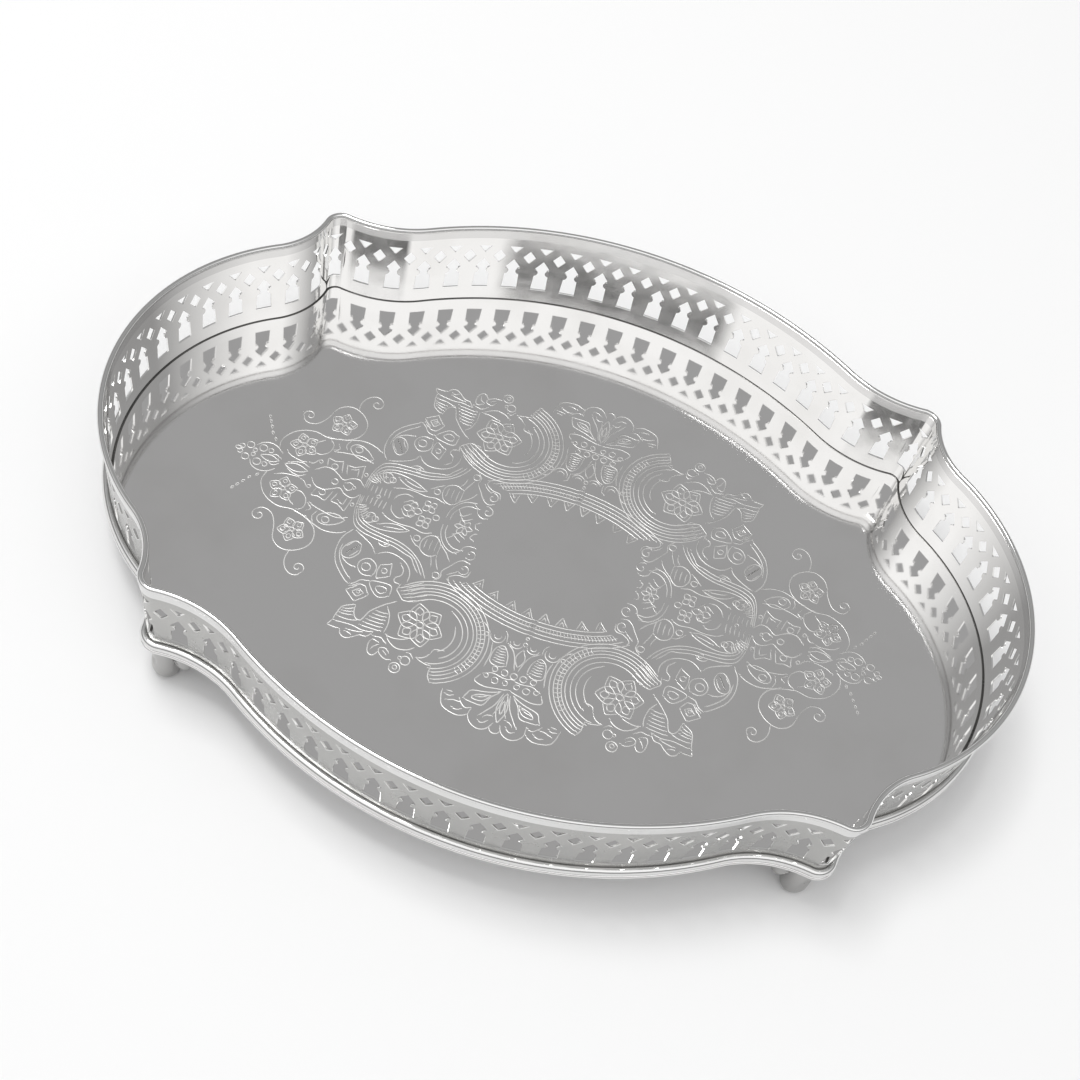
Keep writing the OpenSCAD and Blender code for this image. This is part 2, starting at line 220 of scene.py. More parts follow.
def quarter(pan):
    """The outline's quarter with X and Y positive, as five tangent arcs from the middle of the end to
    the middle of the long side. way is 1 where the outline bulges and -1 where it is hollow."""
    half = np.array([pan.floor_length, pan.floor_width]) / 2
    corner = half - [pan.corner_inset_x, pan.corner_inset_y]
    side_r = (corner[0] ** 2 + pan.side_rise ** 2) / (2 * pan.side_rise)
    side = np.array([0, half[1] - side_r])
    chord = corner[1] - pan.end_curve_drop
    end_r = (chord ** 2 + pan.end_rise ** 2) / (2 * pan.end_rise)
    end = np.array([half[0] - end_r, 0])
    side_notch = meeting(side, side_r + pan.side_notch_r, corner, pan.corner_r + pan.side_notch_r, 1)
    end_notch = meeting(end, end_r + pan.end_notch_r, corner, pan.corner_r + pan.end_notch_r, -1)
    corner_start = (heading(corner, end_notch) + math.pi) % TURN - math.pi
    return [
        Arc(end, end_r, 0, heading(end, end_notch), 1),
        Arc(end_notch, pan.end_notch_r, heading(end_notch, end), heading(end_notch, corner), -1),
        Arc(corner, pan.corner_r, corner_start, heading(corner, side_notch), 1),
        Arc(side_notch, pan.side_notch_r, heading(side_notch, corner), heading(side_notch, side), -1),
        Arc(side, side_r, heading(side, side_notch), math.pi / 2, 1),
    ]


def mirrored(arcs):
    """The arcs mirrored from right to left, and in reverse order."""
    return [Arc(a.middle * [-1, 1], a.radius, math.pi - a.stop, math.pi - a.start, a.way)
            for a in reversed(arcs)]


def turned(arcs):
    """The arcs turned half round about the middle of the tray."""
    return [Arc(-a.middle, a.radius, a.start + math.pi, a.stop + math.pi, a.way) for a in arcs]


def run_lengths(arcs, out):
    """Length of each arc on the line that lies out beyond the outline."""
    return np.array([(a.radius + a.way * out) * abs(a.stop - a.start) for a in arcs])


def along(arcs, s, out=0.0):
    """Points of the outline and their outward directions, at lengths s measured out beyond it: each
    point is the arc's middle plus its radius times the direction of the angle."""
    lengths = run_lengths(arcs, out)
    ends = np.cumsum(lengths)
    k = np.minimum(np.searchsorted(ends, s - 1e-9), len(arcs) - 1)
    start, stop, radius, way = np.array([[a.start, a.stop, a.radius, a.way] for a in arcs]).T
    turn = start[k] + (stop - start)[k] * (s - (ends - lengths)[k]) / lengths[k]
    ray = np.stack([np.cos(turn), np.sin(turn)], -1)
    middle = np.array([a.middle for a in arcs])
    return middle[k] + radius[k, None] * ray, way[k, None] * ray


def stations(arcs, step=1.5 * MM, widest=math.radians(3)):
    """Outline points and outward directions along the arcs, no further apart than a step or an angle."""
    lengths = run_lengths(arcs, 0)
    starts = np.cumsum(lengths) - lengths
    runs = []
    for a, start, run in zip(arcs, starts, lengths):
        n = math.ceil(max(run / step, abs(a.stop - a.start) / widest))
        runs.append(start + run * np.arange(n) / n)
    return along(arcs, np.append(np.concatenate(runs), lengths.sum()))


class Layout:
    """The outline's four runs and the places of the openings on them."""

    def __init__(self, pan, wall):
        arcs = quarter(pan)
        hollow = arcs[3]
        self.out = (wall.flare + wall.thickness) / 2
        parts = run_lengths(arcs, self.out)
        side_half = parts[3] + parts[4] + parts[2] / 2
        end_half = parts[0] + parts[1] + parts[2] / 2
        side_count = 2 * math.floor(side_half / wall.pitch) + 1
        end_count = 2 * round(end_half / wall.pitch)
        self.side_pitch = 2 * side_half / side_count
        self.end_pitch = 2 * end_half / end_count
        past = (self.side_pitch - parts[2]) / 2 / parts[3]
        seam = hollow.start + past * (hollow.stop - hollow.start)
        side_part = [hollow._replace(start=seam), arcs[4]]
        end_part = [*arcs[:3], hollow._replace(stop=seam)]
        back = side_part + mirrored(side_part)
        right = turned(mirrored(end_part)) + end_part
        self.runs = {"right": right, "back": back, "left": turned(right), "front": turned(back)}
        self.loop = arcs + mirrored(arcs) + turned(arcs) + turned(mirrored(arcs))
        self.corner = arcs[2].middle
        side_cells = np.full(side_count - 1, self.side_pitch)
        end_cells = np.full(end_count + 1, self.end_pitch)
        end_cells[[0, -1]] = (self.side_pitch + self.end_pitch) / 2
        self.cells = {"right": end_cells, "back": side_cells, "left": end_cells, "front": side_cells}


# ---------------------------------------------------------------- mesh tools

def outwards(verts, faces):
    """The faces, all turned over if the solid that they close has a volume below zero."""
    volume = sum(np.einsum("ij,ij->", verts[f[:, 0]], np.cross(verts[f[:, k]], verts[f[:, k + 1]]))
                 for f in faces for k in range(1, f.shape[1] - 1))
    return [f[:, ::-1] for f in faces] if volume < 0 else list(faces)


def welded(verts, faces):
    """The same solid with the points that coincide, to a micrometre, made one."""
    _, first, place = np.unique(np.round(verts / (MM * MM)), axis=0, return_index=True,
                                return_inverse=True)
    return verts[first], [place.ravel()[f] for f in faces]


def add_piece(name, verts, faces, sharp=35, normals=None):
    """Puts whole arrays of points and faces into a mesh object, shaded smooth but for its sharp edges.
    normals, one for each corner of each face, are used as they are."""
    if normals is None:
        faces = outwards(verts, faces)
    corners = np.concatenate([f.ravel() for f in faces])
    counts = np.concatenate([np.full(len(f), f.shape[1]) for f in faces])
    mesh = bpy.data.meshes.new(name)
    mesh.vertices.add(len(verts))
    mesh.vertices.foreach_set("co", verts.astype(np.float32).ravel())
    mesh.loops.add(len(corners))
    mesh.loops.foreach_set("vertex_index", corners.astype(np.int32))
    mesh.polygons.add(len(counts))
    mesh.polygons.foreach_set("loop_start", (np.cumsum(counts) - counts).astype(np.int32))
    mesh.update(calc_edges=True)
    mesh.shade_smooth()
    if normals is None:
        mesh.set_sharp_from_angle(angle=math.radians(sharp))
    else:
        mesh.normals_split_custom_set(normals)
    piece = bpy.data.objects.new(name, mesh)
    bpy.context.scene.collection.objects.link(piece)
    return piece


def finish_piece(piece, material, slot, *nodes):
    """Gives a piece its finish, its body and the CAD nodes that it stands for."""
    piece.data.materials.append(material)
    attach(piece, BODY)
    if nodes:
        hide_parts(*nodes)
    return piece


def grid_quads(rows, columns, rows_close=False, columns_close=False):
    """The four-cornered faces of a grid of points, numbered row by row."""
    i = np.arange(rows if rows_close else rows - 1)[:, None]
    j = np.arange(columns if columns_close else columns - 1)[None]
    ii = (i + 1) % rows
    jj = (j + 1) % columns
    return np.stack(np.broadcast_arrays(i * columns + j, ii * columns + j, ii * columns + jj,
                                        i * columns + jj), -1).reshape(-1, 4)


def poled_faces(rows, count):
    """Faces of a stack of closed rings whose first and last are each drawn in to a pole; the two poles
    are the points that follow the rings."""
    ring = np.arange(count)
    after = (ring + 1) % count
    last = (rows - 1) * count
    return [grid_quads(rows, count, False, True),
            np.column_stack([np.full(count, rows * count), ring, after]),
            np.column_stack([np.full(count, rows * count + 1), last + after, last + ring])]


def swept(base, out, section, closed=False):
    """Carries a closed section of [outwards, up] points along stations: a point is the station plus
    outwards times its outward direction, at the height up. An open run gets a flat face at each end."""
    flat = base[:, None] + section[None, :, :1] * out[:, None]
    high = np.broadcast_to(section[None, :, 1:], (*flat.shape[:2], 1))
    verts = np.concatenate([flat, high], -1).reshape(-1, 3)
    rows, columns = len(base), len(section)
    faces = [grid_quads(rows, columns, closed, True)]
    if not closed:
        ring = np.arange(columns)
        faces += [ring[None], (rows - 1) * columns + ring[None, ::-1]]
    return verts, faces


def arc_points(middle, radius, start, stop, steps):
    """Points round an arc: the middle plus the radius times the direction of each angle."""
    turn = np.linspace(start, stop, steps + 1)
    return np.asarray(middle) + radius * np.stack([np.cos(turn), np.sin(turn)], -1)


# ---------------------------------------------------------------- materials

def links(tree, *pairs):
    """Joins pairs of sockets, each an output and an input."""
    for start, end in pairs:
        tree.links.new(start, end)


def noise(tree, coords, scale, detail=2.0, roughness=0.5):
    """A noise texture on the given coordinates."""
    node = tree.nodes.new("ShaderNodeTexNoise")
    node.inputs["Scale"].default_value = scale
    node.inputs["Detail"].default_value = detail
    node.inputs["Roughness"].default_value = roughness
    tree.links.new(coords, node.inputs["Vector"])
    return node.outputs["Fac"]


def spread(tree, value, low, high, to_low, to_high):
    """Carries a value from one range to another, held at its ends."""
    node = tree.nodes.new("ShaderNodeMapRange")
    for name, number in zip(("From Min", "From Max", "To Min", "To Max"), (low, high, to_low, to_high)):
        node.inputs[name].default_value = number
    tree.links.new(value, node.inputs["Value"])
    return node.outputs["Result"]


def tinted(tree, amount, tone, other):
    """A colour between two, by an amount."""
    node = tree.nodes.new("ShaderNodeMix")
    node.data_type = "RGBA"
    node.inputs["A"].default_value = (*tone, 1)
    node.inputs["B"].default_value = (*other, 1)
    tree.links.new(amount, node.inputs["Factor"])
    return node.outputs["Result"]


def bumped(tree, height, distance, strength, under=None):
    """A bump of the given height in metres, over another bump."""
    node = tree.nodes.new("ShaderNodeBump")
    node.inputs["Distance"].default_value = distance
    node.inputs["Strength"].default_value = strength
    tree.links.new(height, node.inputs["Height"])
    if under is not None:
        tree.links.new(under, node.inputs["Normal"])
    return node.outputs["Normal"]


# How fine the tarnish's patches, the uneven polish and the mop's grain are, in repeats to the metre
PATCHES = 28
POLISH = 75
GRAIN = 2600


def silver_plate(name, tone, roughness, wave, wave_size, grain):
    """Polished silver plate: a metal whose colour drifts a little towards tarnish, whose polish is
    uneven, and whose surface has a long slow wave from rolling and a faint grain from the mop. The tone
    is named among the scene's colours; the wave, its size and the grain are in millimetres."""
    tones = finish()
    material = bpy.data.materials.new(name)
    material.use_nodes = True
    tree = material.node_tree
    shader = tree.nodes["Principled BSDF"]
    shader.inputs["Metallic"].default_value = 1
    coords = tree.nodes.new("ShaderNodeTexCoord").outputs["Object"]
    patches = spread(tree, noise(tree, coords, PATCHES, 3), 0.45, 0.8, 0, 0.3)
    polish = spread(tree, noise(tree, coords, POLISH, 4, 0.6), 0.3, 0.7, roughness * 0.75, roughness * 1.4)
    slow = bumped(tree, noise(tree, coords, 1 / (wave_size * MM), 1), wave * MM, 1)
    fine = bumped(tree, noise(tree, coords, GRAIN, 2), grain * MM, 0.5, slow)
    links(tree,
          (tinted(tree, patches, getattr(tones, tone), tones.tarnish), shader.inputs["Base Color"]),
          (polish, shader.inputs["Roughness"]),
          (fine, shader.inputs["Normal"]))
    return material


# ---------------------------------------------------------------- the pan

def pan_section(pan, rows=12):
    """The pan's half section from its rolled edge: the floor's top edge, the roll's circle from where
    the sheet enters it round to the underside, and the underside's edge, as [outwards, up]."""
    middle = FLOOR_TOP - pan.thickness / 2
    enter = math.asin(pan.thickness / 2 / pan.edge_r)
    return arc_points((pan.edge_out, middle), pan.edge_r, math.pi - enter, enter - math.pi, 2 * rows)


def build_pan(pan, loop):
    """The pan as one grid: rings of the outline scaled from a point at the middle of its top, out to
    the outline, round the rolled edge, and back underneath to a point at the middle."""
    base, out = stations(loop)
    base, out = base[:-1], out[:-1]
    count = len(base)
    roll = pan_section(pan)
    shares = np.array([0.02, 0.2, 0.4, 0.6, 0.8, 0.9, 0.96, 1])
    top = np.concatenate([base * s for s in shares])
    low = np.concatenate([base * s for s in shares[::-1]])
    edge = np.concatenate([base + r[0] * out for r in roll])
    heights = np.repeat(np.concatenate([np.full(len(shares), FLOOR_TOP), roll[:, 1],
                                        np.full(len(shares), FLOOR_TOP - pan.thickness)]), count)
    verts = np.column_stack([np.concatenate([top, edge, low]), heights])
    rows = len(verts) // count
    poles = np.array([[0, 0, FLOOR_TOP], [0, 0, FLOOR_TOP - pan.thickness]])
    return np.vstack([verts, poles]), poled_faces(rows, count)


# ---------------------------------------------------------------- the pierced wall

def wall_in(wall, z):
    """How far the wall's inner face lies outside the outline at a height: the flare's share of it."""
    return wall.flare * (z - FLOOR_TOP) / WALL_RISE


def tall_opening(wall):
    """Half of a tall opening, from the middle of its foot up to its tip: a straight foot, a round lug
    that bites into it, a straight head and a pointed top. Heights are above the openings' foot."""
    half = wall.tall_w / 2
    head = half - wall.head_in
    head_top = wall.lug_h + wall.lug_r + wall.head_h
    lug_x = wall.neck_w / 2 + wall.lug_r
    edge_x = half - wall.head_in * wall.lug_h / head_top
    bite = math.acos((edge_x - lug_x) / wall.lug_r)
    lug = arc_points((lug_x, wall.lug_h), wall.lug_r, TURN - bite, bite, 10)
    return np.vstack([[[0, 0], [half, 0]], lug, [[head, head_top], [0, wall.tall_h]]])


def both_halves(half):
    """A closed loop from the half with x above zero, anticlockwise; its ends lie on the middle line."""
    return np.vstack([half, half[-2:0:-1] * [-1, 1]])


def grown(loop, by, closed=True):
    """A loop with each of its points moved outwards: along the mean of its two edges' normals, far
    enough to keep the edges apart, though never more than twice the distance."""
    before = np.roll(loop, 1, 0)
    after = np.roll(loop, -1, 0)
    if not closed:
        before[0] = loop[0] * 2 - loop[1]
        after[-1] = loop[-1] * 2 - loop[-2]
    first = loop - before
    second = after - loop
    normals = [np.stack([d[:, 1], -d[:, 0]], -1) / np.linalg.norm(d, axis=1)[:, None]
               for d in (first, second)]
    mean = normals[0] + normals[1]
    reach = np.minimum(2 / np.einsum("ij,ij->i", mean, mean) * np.linalg.norm(mean, axis=1), 2)
    return loop + by * reach[:, None] * mean / np.linalg.norm(mean, axis=1)[:, None]


def inside(points, loop):
    """Which points lie inside a loop, by counting the edges that a ray to the right crosses."""
    a = loop[:, None]
    b = np.roll(loop, -1, 0)[:, None]
    spans = (a[..., 1] > points[:, 1]) != (b[..., 1] > points[:, 1])
    rise = np.where(spans, b[..., 1] - a[..., 1], 1)
    cross = a[..., 0] + (points[:, 1] - a[..., 1]) / rise * (b[..., 0] - a[..., 0])
    return (spans & (points[:, 0] < cross)).sum(0) % 2 == 1


class Cell:
    """One repeat of the piercing, as wide as the pitch with a tall opening at its middle and half a
    diamond at each edge: the loops of its openings, and its sheet cut into triangles."""

    def __init__(self, wall, pitch, low, high):
        foot = FLOOR_TOP + wall.plain_band
        tall = both_halves(tall_opening(wall)) + [0, foot]
        cross = foot + wall.tall_h + wall.strap
        triangle = np.array([[0, cross], [wall.triangle_w / 2, cross + wall.triangle_h],
                             [-wall.triangle_w / 2, cross + wall.triangle_h]])
        mid = foot + wall.tall_h + wall.diamond_rise
        right = np.array([[pitch / 2, mid - wall.diamond_h / 2], [pitch / 2 - wall.diamond_w / 2, mid],
                          [pitch / 2, mid + wall.diamond_h / 2]])
        left = right[::-1] * [-1, 1]
        self.loops = [tall, triangle]
        self.wide = [grown(loop, wall.burr) for loop in self.loops]
        self.cuts = [right, left]
        slant = wall.burr * math.hypot(wall.diamond_w, wall.diamond_h)
        step = np.array([slant / wall.diamond_h, slant / wall.diamond_w])
        self.wide_cuts = [right + step * [[0, -1], [-1, 0], [0, 1]], left + step * [[0, 1], [1, 0], [0, -1]]]
        self.points, self.triangles = self.cut_sheet(pitch, low, high)

    def cut_sheet(self, pitch, low, high, columns=14, rows=16):
        """Delaunay triangles of the sheet between the openings, on a lattice of columns and rows."""
        x = np.linspace(-pitch / 2, pitch / 2, columns + 1)
        z = np.linspace(low, high, rows + 1)
        right_cut, left_cut = self.wide_cuts
        edge = [z[z < right_cut[0, 1] - MM / 2], z[z > right_cut[2, 1] + MM / 2]]
        outline = np.vstack([
            np.column_stack([x, np.full(columns + 1, low)]),
            np.column_stack([np.full(len(edge[0]) - 1, pitch / 2), edge[0][1:]]), right_cut,
            np.column_stack([np.full(len(edge[1]), pitch / 2), edge[1]]),
            np.column_stack([x[-2::-1], np.full(columns, high)]),
            np.column_stack([np.full(len(edge[1]) - 1, -pitch / 2), edge[1][-2::-1]]), left_cut,
            np.column_stack([np.full(len(edge[0]) - 1, -pitch / 2), edge[0][:0:-1]])])
        lattice = np.stack(np.meshgrid(x[1:-1], z[1:-1]), -1).reshape(-1, 2)
        keep = inside(lattice, outline)
        clear = 0.35 * MM
        for loop in self.wide:
            keep &= ~inside(lattice, grown(loop, clear))
        shy = np.vstack([outline, *self.wide])
        keep &= np.linalg.norm(lattice[:, None] - shy, axis=2).min(1) > clear
        loops = [outline, *self.wide]
        sizes = [len(loop) for loop in loops]
        starts = np.cumsum(sizes) - sizes
        edges = np.vstack([np.column_stack([start + np.arange(n), start + (np.arange(n) + 1) % n])
                           for start, n in zip(starts, sizes)])
        points = np.vstack([*loops, lattice[keep]])
        found = delaunay_2d_cdt([Vector(p / MM) for p in points], edges.tolist(), [], 0, 1e-5, True)
        points = points[[source[0] for source in found[3]]]
        triangles = np.array(found[2])
        middles = points[triangles].mean(1)
        solid = inside(middles, outline)
        for loop in self.wide:
            solid &= ~inside(middles, loop)
        return points, triangles[solid]


def build_wall(wall, layout, side):
    """A run of the pierced wall: each cell's sheet is laid along the run by length, once on the inner
    face and once on the outer, and the openings' edges are joined through the thickness with a
    narrow softened edge on both faces. A point is the outline's point plus its depth outwards. The
    last array says which faces are the outer ones."""
    arcs = layout.runs[side]
    widths = layout.cells[side]
    low = FLOOR_TOP
    high = WALL_TOP
    pitch = layout.side_pitch
    cell = Cell(wall, pitch, low, high)
    middles = np.cumsum(widths) - widths / 2
    if widths[0] != widths[1]:
        middles[[0, -1]] = widths[0] - widths[1] / 2, widths.sum() - widths[0] + widths[1] / 2
    starts = np.cumsum(widths) - widths

    def laid(flat, depth):
        """Points for every cell: x is stretched on each half of a cell to meet its neighbours."""
        x = flat[:, 0] / (pitch / 2)
        s = middles[:, None] + np.where(x < 0, x * (middles - starts)[:, None],
                                        x * (starts + widths - middles)[:, None])
        base, out = along(arcs, s.ravel(), layout.out)
        z = np.tile(flat[:, 1], len(widths))
        place = wall_in(wall, z) + np.tile(np.broadcast_to(depth, len(flat)), len(widths))
        return np.column_stack([base + place[:, None] * out, z]), out

    verts, faces, normals = [], [], []

    def add(points, quads):
        """Adds four-cornered faces that are shaded flat."""
        faces.append(quads + sum(map(len, verts)))
        verts.append(points)
        a, b, c, d = (points[quads[:, k]] for k in range(4))
        facing = np.cross(c - a, d - b)
        normals.append(np.repeat(facing / np.linalg.norm(facing, axis=1)[:, None], 4, 0))

    lean = wall.flare / WALL_RISE
    t = wall.thickness
    count = len(widths)
    outer = []
    for depth, way in ((0, -1), (t, 1)):
        points, out = laid(cell.points, depth)
        tri = (cell.triangles[None] + len(cell.points) * np.arange(count)[:, None, None]).reshape(-1, 3)
        tri = tri[:, ::way]
        outer.append(np.full(len(tri), way > 0))
        faces.append(tri + sum(map(len, verts)))
        verts.append(points)
        up = np.column_stack([out, np.full(len(out), -lean)])
        up *= way / np.linalg.norm(up, axis=1)[:, None]
        normals.append(up[tri].reshape(-1, 3))
    strips = [(wide, loop, True) for wide, loop in zip(cell.wide, cell.loops)]
    strips += [(wide[::-1], cut[::-1], False) for wide, cut in zip(cell.wide_cuts, cell.cuts)]
    for wide, loop, closed in strips:
        rings = [laid(wide, 0), laid(loop, wall.burr), laid(loop, t - wall.burr), laid(wide, t)]
        n = len(loop)
        rows = np.stack([r[0].reshape(count, n, 3) for r in rings], 1)
        quads = grid_quads(4, n, False, closed)
        quads = (quads[None] + 4 * n * np.arange(count)[:, None, None]).reshape(-1, 4)
        add(rows.reshape(-1, 3), quads)
    for line, which in end_strips(cell, low, high, pitch):
        rows = np.stack([laid(line, depth)[0].reshape(count, -1, 3)[which] for depth in (0, t)], 1)
        first = 2 * len(line) * np.arange(len(rows))[:, None, None]
        add(rows.reshape(-1, 3), (grid_quads(2, len(line))[None] + first).reshape(-1, 4))
    for k, which in ((0, -1), (1, 0)):
        for end in (0, -1):
            rim = [(cell.wide_cuts, 0), (cell.cuts, wall.burr),
                   (cell.cuts, t - wall.burr), (cell.wide_cuts, t)]
            ring = [laid(loops[k][[end]], depth)[0][which] for loops, depth in rim]
            order = np.arange(4) if end == 0 else np.arange(4)[::-1]
            add(np.array(ring), order[None])
    outer.append(np.full(sum(map(len, faces)) - sum(map(len, outer)), False))
    return np.vstack(verts), faces, np.vstack(normals), np.concatenate(outer)


def end_strips(cell, low, high, pitch):
    """The lines of a cell that lie on the wall's foot, its top and its two ends, in the order that
    turns their faces out, each with the cells that it is used for."""
    every = slice(None)
    points = cell.points
    tiny = 1e-3 * MM
    foot = points[np.abs(points[:, 1] - low) < tiny]
    top = points[np.abs(points[:, 1] - high) < tiny]
    foot = foot[np.argsort(-foot[:, 0])]
    top = top[np.argsort(top[:, 0])]
    strips = [(foot, every), (top, every)]
    for way, which in ((1, slice(-1, None)), (-1, slice(0, 1))):
        edge = points[np.abs(points[:, 0] - way * pitch / 2) < tiny]
        edge = edge[np.argsort(-way * edge[:, 1])]
        gap = cell.cuts[0][1, 1]
        strips += [(edge[edge[:, 1] < gap], which), (edge[edge[:, 1] > gap], which)]
    return strips


# ---------------------------------------------------------------- rim and moulding

def rim_section(wall, trim):
    """The rim's section: up the outside of a thin band, round the wire, down the band's inside, and
    back up and down along the wall that it grips."""
    wire_z = RIM_TOP - trim.wire_r
    high = WALL_TOP
    foot = wire_z - trim.wire_r - trim.band_h
    middle = wall_in(wall, wire_z) + wall.thickness / 2
    leave = -math.acos((wall.thickness / 2 + trim.band_t) / trim.wire_r)
    wire = arc_points((middle, wire_z), trim.wire_r, leave, math.pi - leave, 28)
    soft = trim.band_t / 3
    inner = wall_in(wall, foot)
    outer = inner + wall.thickness
    return np.vstack([
        [[outer + trim.band_t - soft, foot], [outer + trim.band_t, foot + soft]], wire,
        [[inner - trim.band_t, foot + soft], [inner - trim.band_t + soft, foot], [inner, foot]],
        [[wall_in(wall, high), high], [wall_in(wall, high) + wall.thickness, high], [outer, foot]]])


def moulding_section(wall, trim):
    """The moulding's section: a flat foot on the floor's edge and a round face up to the wall."""
    middle = FLOOR_TOP + trim.moulding_h
    lean = wall.flare / WALL_RISE
    gap = wall_in(wall, middle) + wall.thickness - trim.moulding_out
    slope = 1 + lean ** 2
    rise = (math.sqrt((lean * gap) ** 2 - slope * (gap ** 2 - trim.moulding_r ** 2)) - lean * gap) / slope
    top = math.atan2(rise, gap + lean * rise)
    foot = math.radians(-80)
    face = arc_points((trim.moulding_out, middle), trim.moulding_r, foot, top, 24)
    return np.vstack([[[wall.thickness, FLOOR_TOP], [trim.moulding_out, FLOOR_TOP]], face])


def seam_section(trim):
    """The solder inside the foot of the wall: a hollow curve from the floor up to the wall."""
    w = trim.seam_w
    cove = arc_points((-w, FLOOR_TOP + w), w, 0, -math.pi / 2, 6)
    return np.vstack([[[w / 4, FLOOR_TOP - w / 4], [w / 4, FLOOR_TOP + w]], cove, [[-w, FLOOR_TOP - w / 4]]])


LEDGE_LAP = 0.2
COLLAR_REACH = 0.93


def ledge_section(trim):
    """The solder that fills the crevice between the moulding's foot and the rolled edge, lapping each by
    a share of its radius."""
    near = trim.moulding_out + LEDGE_LAP * trim.moulding_r
    far = EDGE_OUT + LEDGE_LAP * EDGE_R
    high = FLOOR_TOP + 0.5 * EDGE_R
    return np.array([[near, FLOOR_TOP], [far, FLOOR_TOP], [far, high], [near, high + 0.1 * EDGE_R]])


def collar_section(wall, trim):
    """The solder where the moulding's top meets the wall: a low wedge against the wall's face, at a share
    of the moulding's radius above its middle."""
    top = FLOOR_TOP + trim.moulding_h + COLLAR_REACH * trim.moulding_r
    near = wall.thickness
    return np.array([[near, top - trim.seam_w], [near + 0.9 * trim.seam_w, top - trim.seam_w],
                     [near + 0.5 * trim.seam_w, top + 0.1 * trim.seam_w], [near, top + 0.6 * trim.seam_w]])


# ---------------------------------------------------------------- the feet

# The casting: how far a lobe tapers up to the floor, how far the side lobes lean off the axes, the
# radius of their blunt lower ends, how softly the lobes run together, and the dimple on the outer face
LOBE_TAPER = 0.14
WING_LEAN = 0.12
WING_END_R = 0.6 * MM
LOBE_BLEND = 0.45 * MM
DIMPLE_FACING = math.radians(45)
DIMPLE_Z = 12.5 * MM
DIMPLE_DEPTH = 0.9 * MM
DIMPLE_SPREAD = 2.1 * MM
# The flange's middle, inwards of the foot's, along the tray and across it
FLANGE_IN_X = 2 * MM
FLANGE_IN_Y = 5 * MM

def lobe_radius(z, radius, flat, low):
    """Radius of a lobe at heights: a quarter circle swung out from the flat, then a slow taper up to the
    floor, and nothing below its lowest point."""
    rise = np.clip((z - low) / radius, 0, 1)
    bowl = flat + (radius - flat) * np.sqrt(1 - (1 - rise) ** 2)
    taper = 1 - LOBE_TAPER * np.clip((z - low - radius) / (FOOT_TOP - low - radius), 0, 1)
    return np.where(z < low, 0, bowl * taper)


def build_foot(feet, middle, way):
    """A foot as one surface of angle and height. Its radius is the smooth greatest of the three lobes',
    each the far crossing of the ray at that angle with the lobe's circle, less a dimple on the outer
    face: depth times the bell of the distance from the dimple's middle."""
    turn = np.linspace(0, TURN, 144, endpoint=False)
    low = np.array([0.0, 0.02, 0.1, 0.25, 0.5, 0.8, 1.2, 1.7, 2.3]) * MM
    z = np.concatenate([low, np.linspace(3 * MM, FOOT_TOP - feet.flange_t / 2, 84)])[:, None]
    radii = [np.broadcast_to(lobe_radius(z, feet.lobe_r, feet.sole_r, 0), (len(z), len(turn)))]
    for side in ((-1, WING_LEAN), (WING_LEAN, -1)):
        toward = math.atan2(side[1], side[0])
        size = lobe_radius(z, feet.wing_r, WING_END_R, feet.wing_clear)
        across = feet.wing_reach * np.sin(turn - toward)
        ahead = feet.wing_reach * np.cos(turn - toward)
        hit = (np.abs(across) < size) & (ahead > 0)
        radii.append(np.where(hit, ahead + np.sqrt(np.where(hit, size ** 2 - across ** 2, 0)), 0))
    radius = LOBE_BLEND * np.log(sum(np.exp(r / LOBE_BLEND) for r in radii) - 2)
    wide = (np.angle(np.exp(1j * (turn - DIMPLE_FACING))) * feet.lobe_r) ** 2 + (z - DIMPLE_Z) ** 2
    radius = radius - DIMPLE_DEPTH * np.exp(-wide / DIMPLE_SPREAD ** 2)
    ring = np.stack(np.broadcast_arrays(radius * np.cos(turn), radius * np.sin(turn), z), -1)
    rows, count = radius.shape
    verts = np.vstack([ring.reshape(-1, 3), [[0, 0, 0], [0, 0, z[-1, 0]]]])
    flange, flange_faces = flange_disc(feet)
    faces = [f[:, ::-1] for f in poled_faces(rows, count)]
    faces += [f + len(verts) for f in flange_faces]
    verts = np.vstack([verts, flange])
    place = np.array([middle[0] - feet.shift_x, middle[1] + feet.shift_y, 0])
    return (verts + place) * [way[0], way[1], 1], faces


def flange_disc(feet):
    """The flange: a disc with a round edge, turned about its own upright axis, inwards of the foot."""
    low = FOOT_TOP - feet.flange_t
    edge = arc_points((feet.flange_r - feet.flange_t / 2, FOOT_TOP - feet.flange_t / 2), feet.flange_t / 2,
                      -math.pi / 2, math.pi / 2, 10)
    turn = np.linspace(0, TURN, 96, endpoint=False)
    x = edge[:, :1] * np.cos(turn) - FLANGE_IN_X
    y = edge[:, :1] * np.sin(turn) - FLANGE_IN_Y
    ring = np.stack(np.broadcast_arrays(x, y, edge[:, 1:]), -1)
    rows, count = x.shape
    verts = np.vstack([ring.reshape(-1, 3), [[-FLANGE_IN_X, -FLANGE_IN_Y, low],
                                             [-FLANGE_IN_X, -FLANGE_IN_Y, FOOT_TOP]]])
    return verts, [f[:, ::-1] for f in poled_faces(rows, count)]


# ---------------------------------------------------------------- the chased centre
# Motifs are drawn in millimetres on the quarter with X and Y positive, from the middle of the
# chasing. Each is a list of strokes, and a stroke is an array of points along one line.

def arc(x, y, radius, start, stop, squash=1.0):
    """A round stroke between two angles in degrees; squash flattens it across."""
    turn = np.radians(np.linspace(start, stop, 4 + int(abs(stop - start) / 8)))
    return np.stack([x + radius * np.cos(turn), y + radius * squash * np.sin(turn)], -1)


def ring(x, y, radius):
    """A whole circle."""
    return arc(x, y, radius, 0, 360)


def line(*points):
    """A stroke of straight pieces."""
    return np.array(points, float)


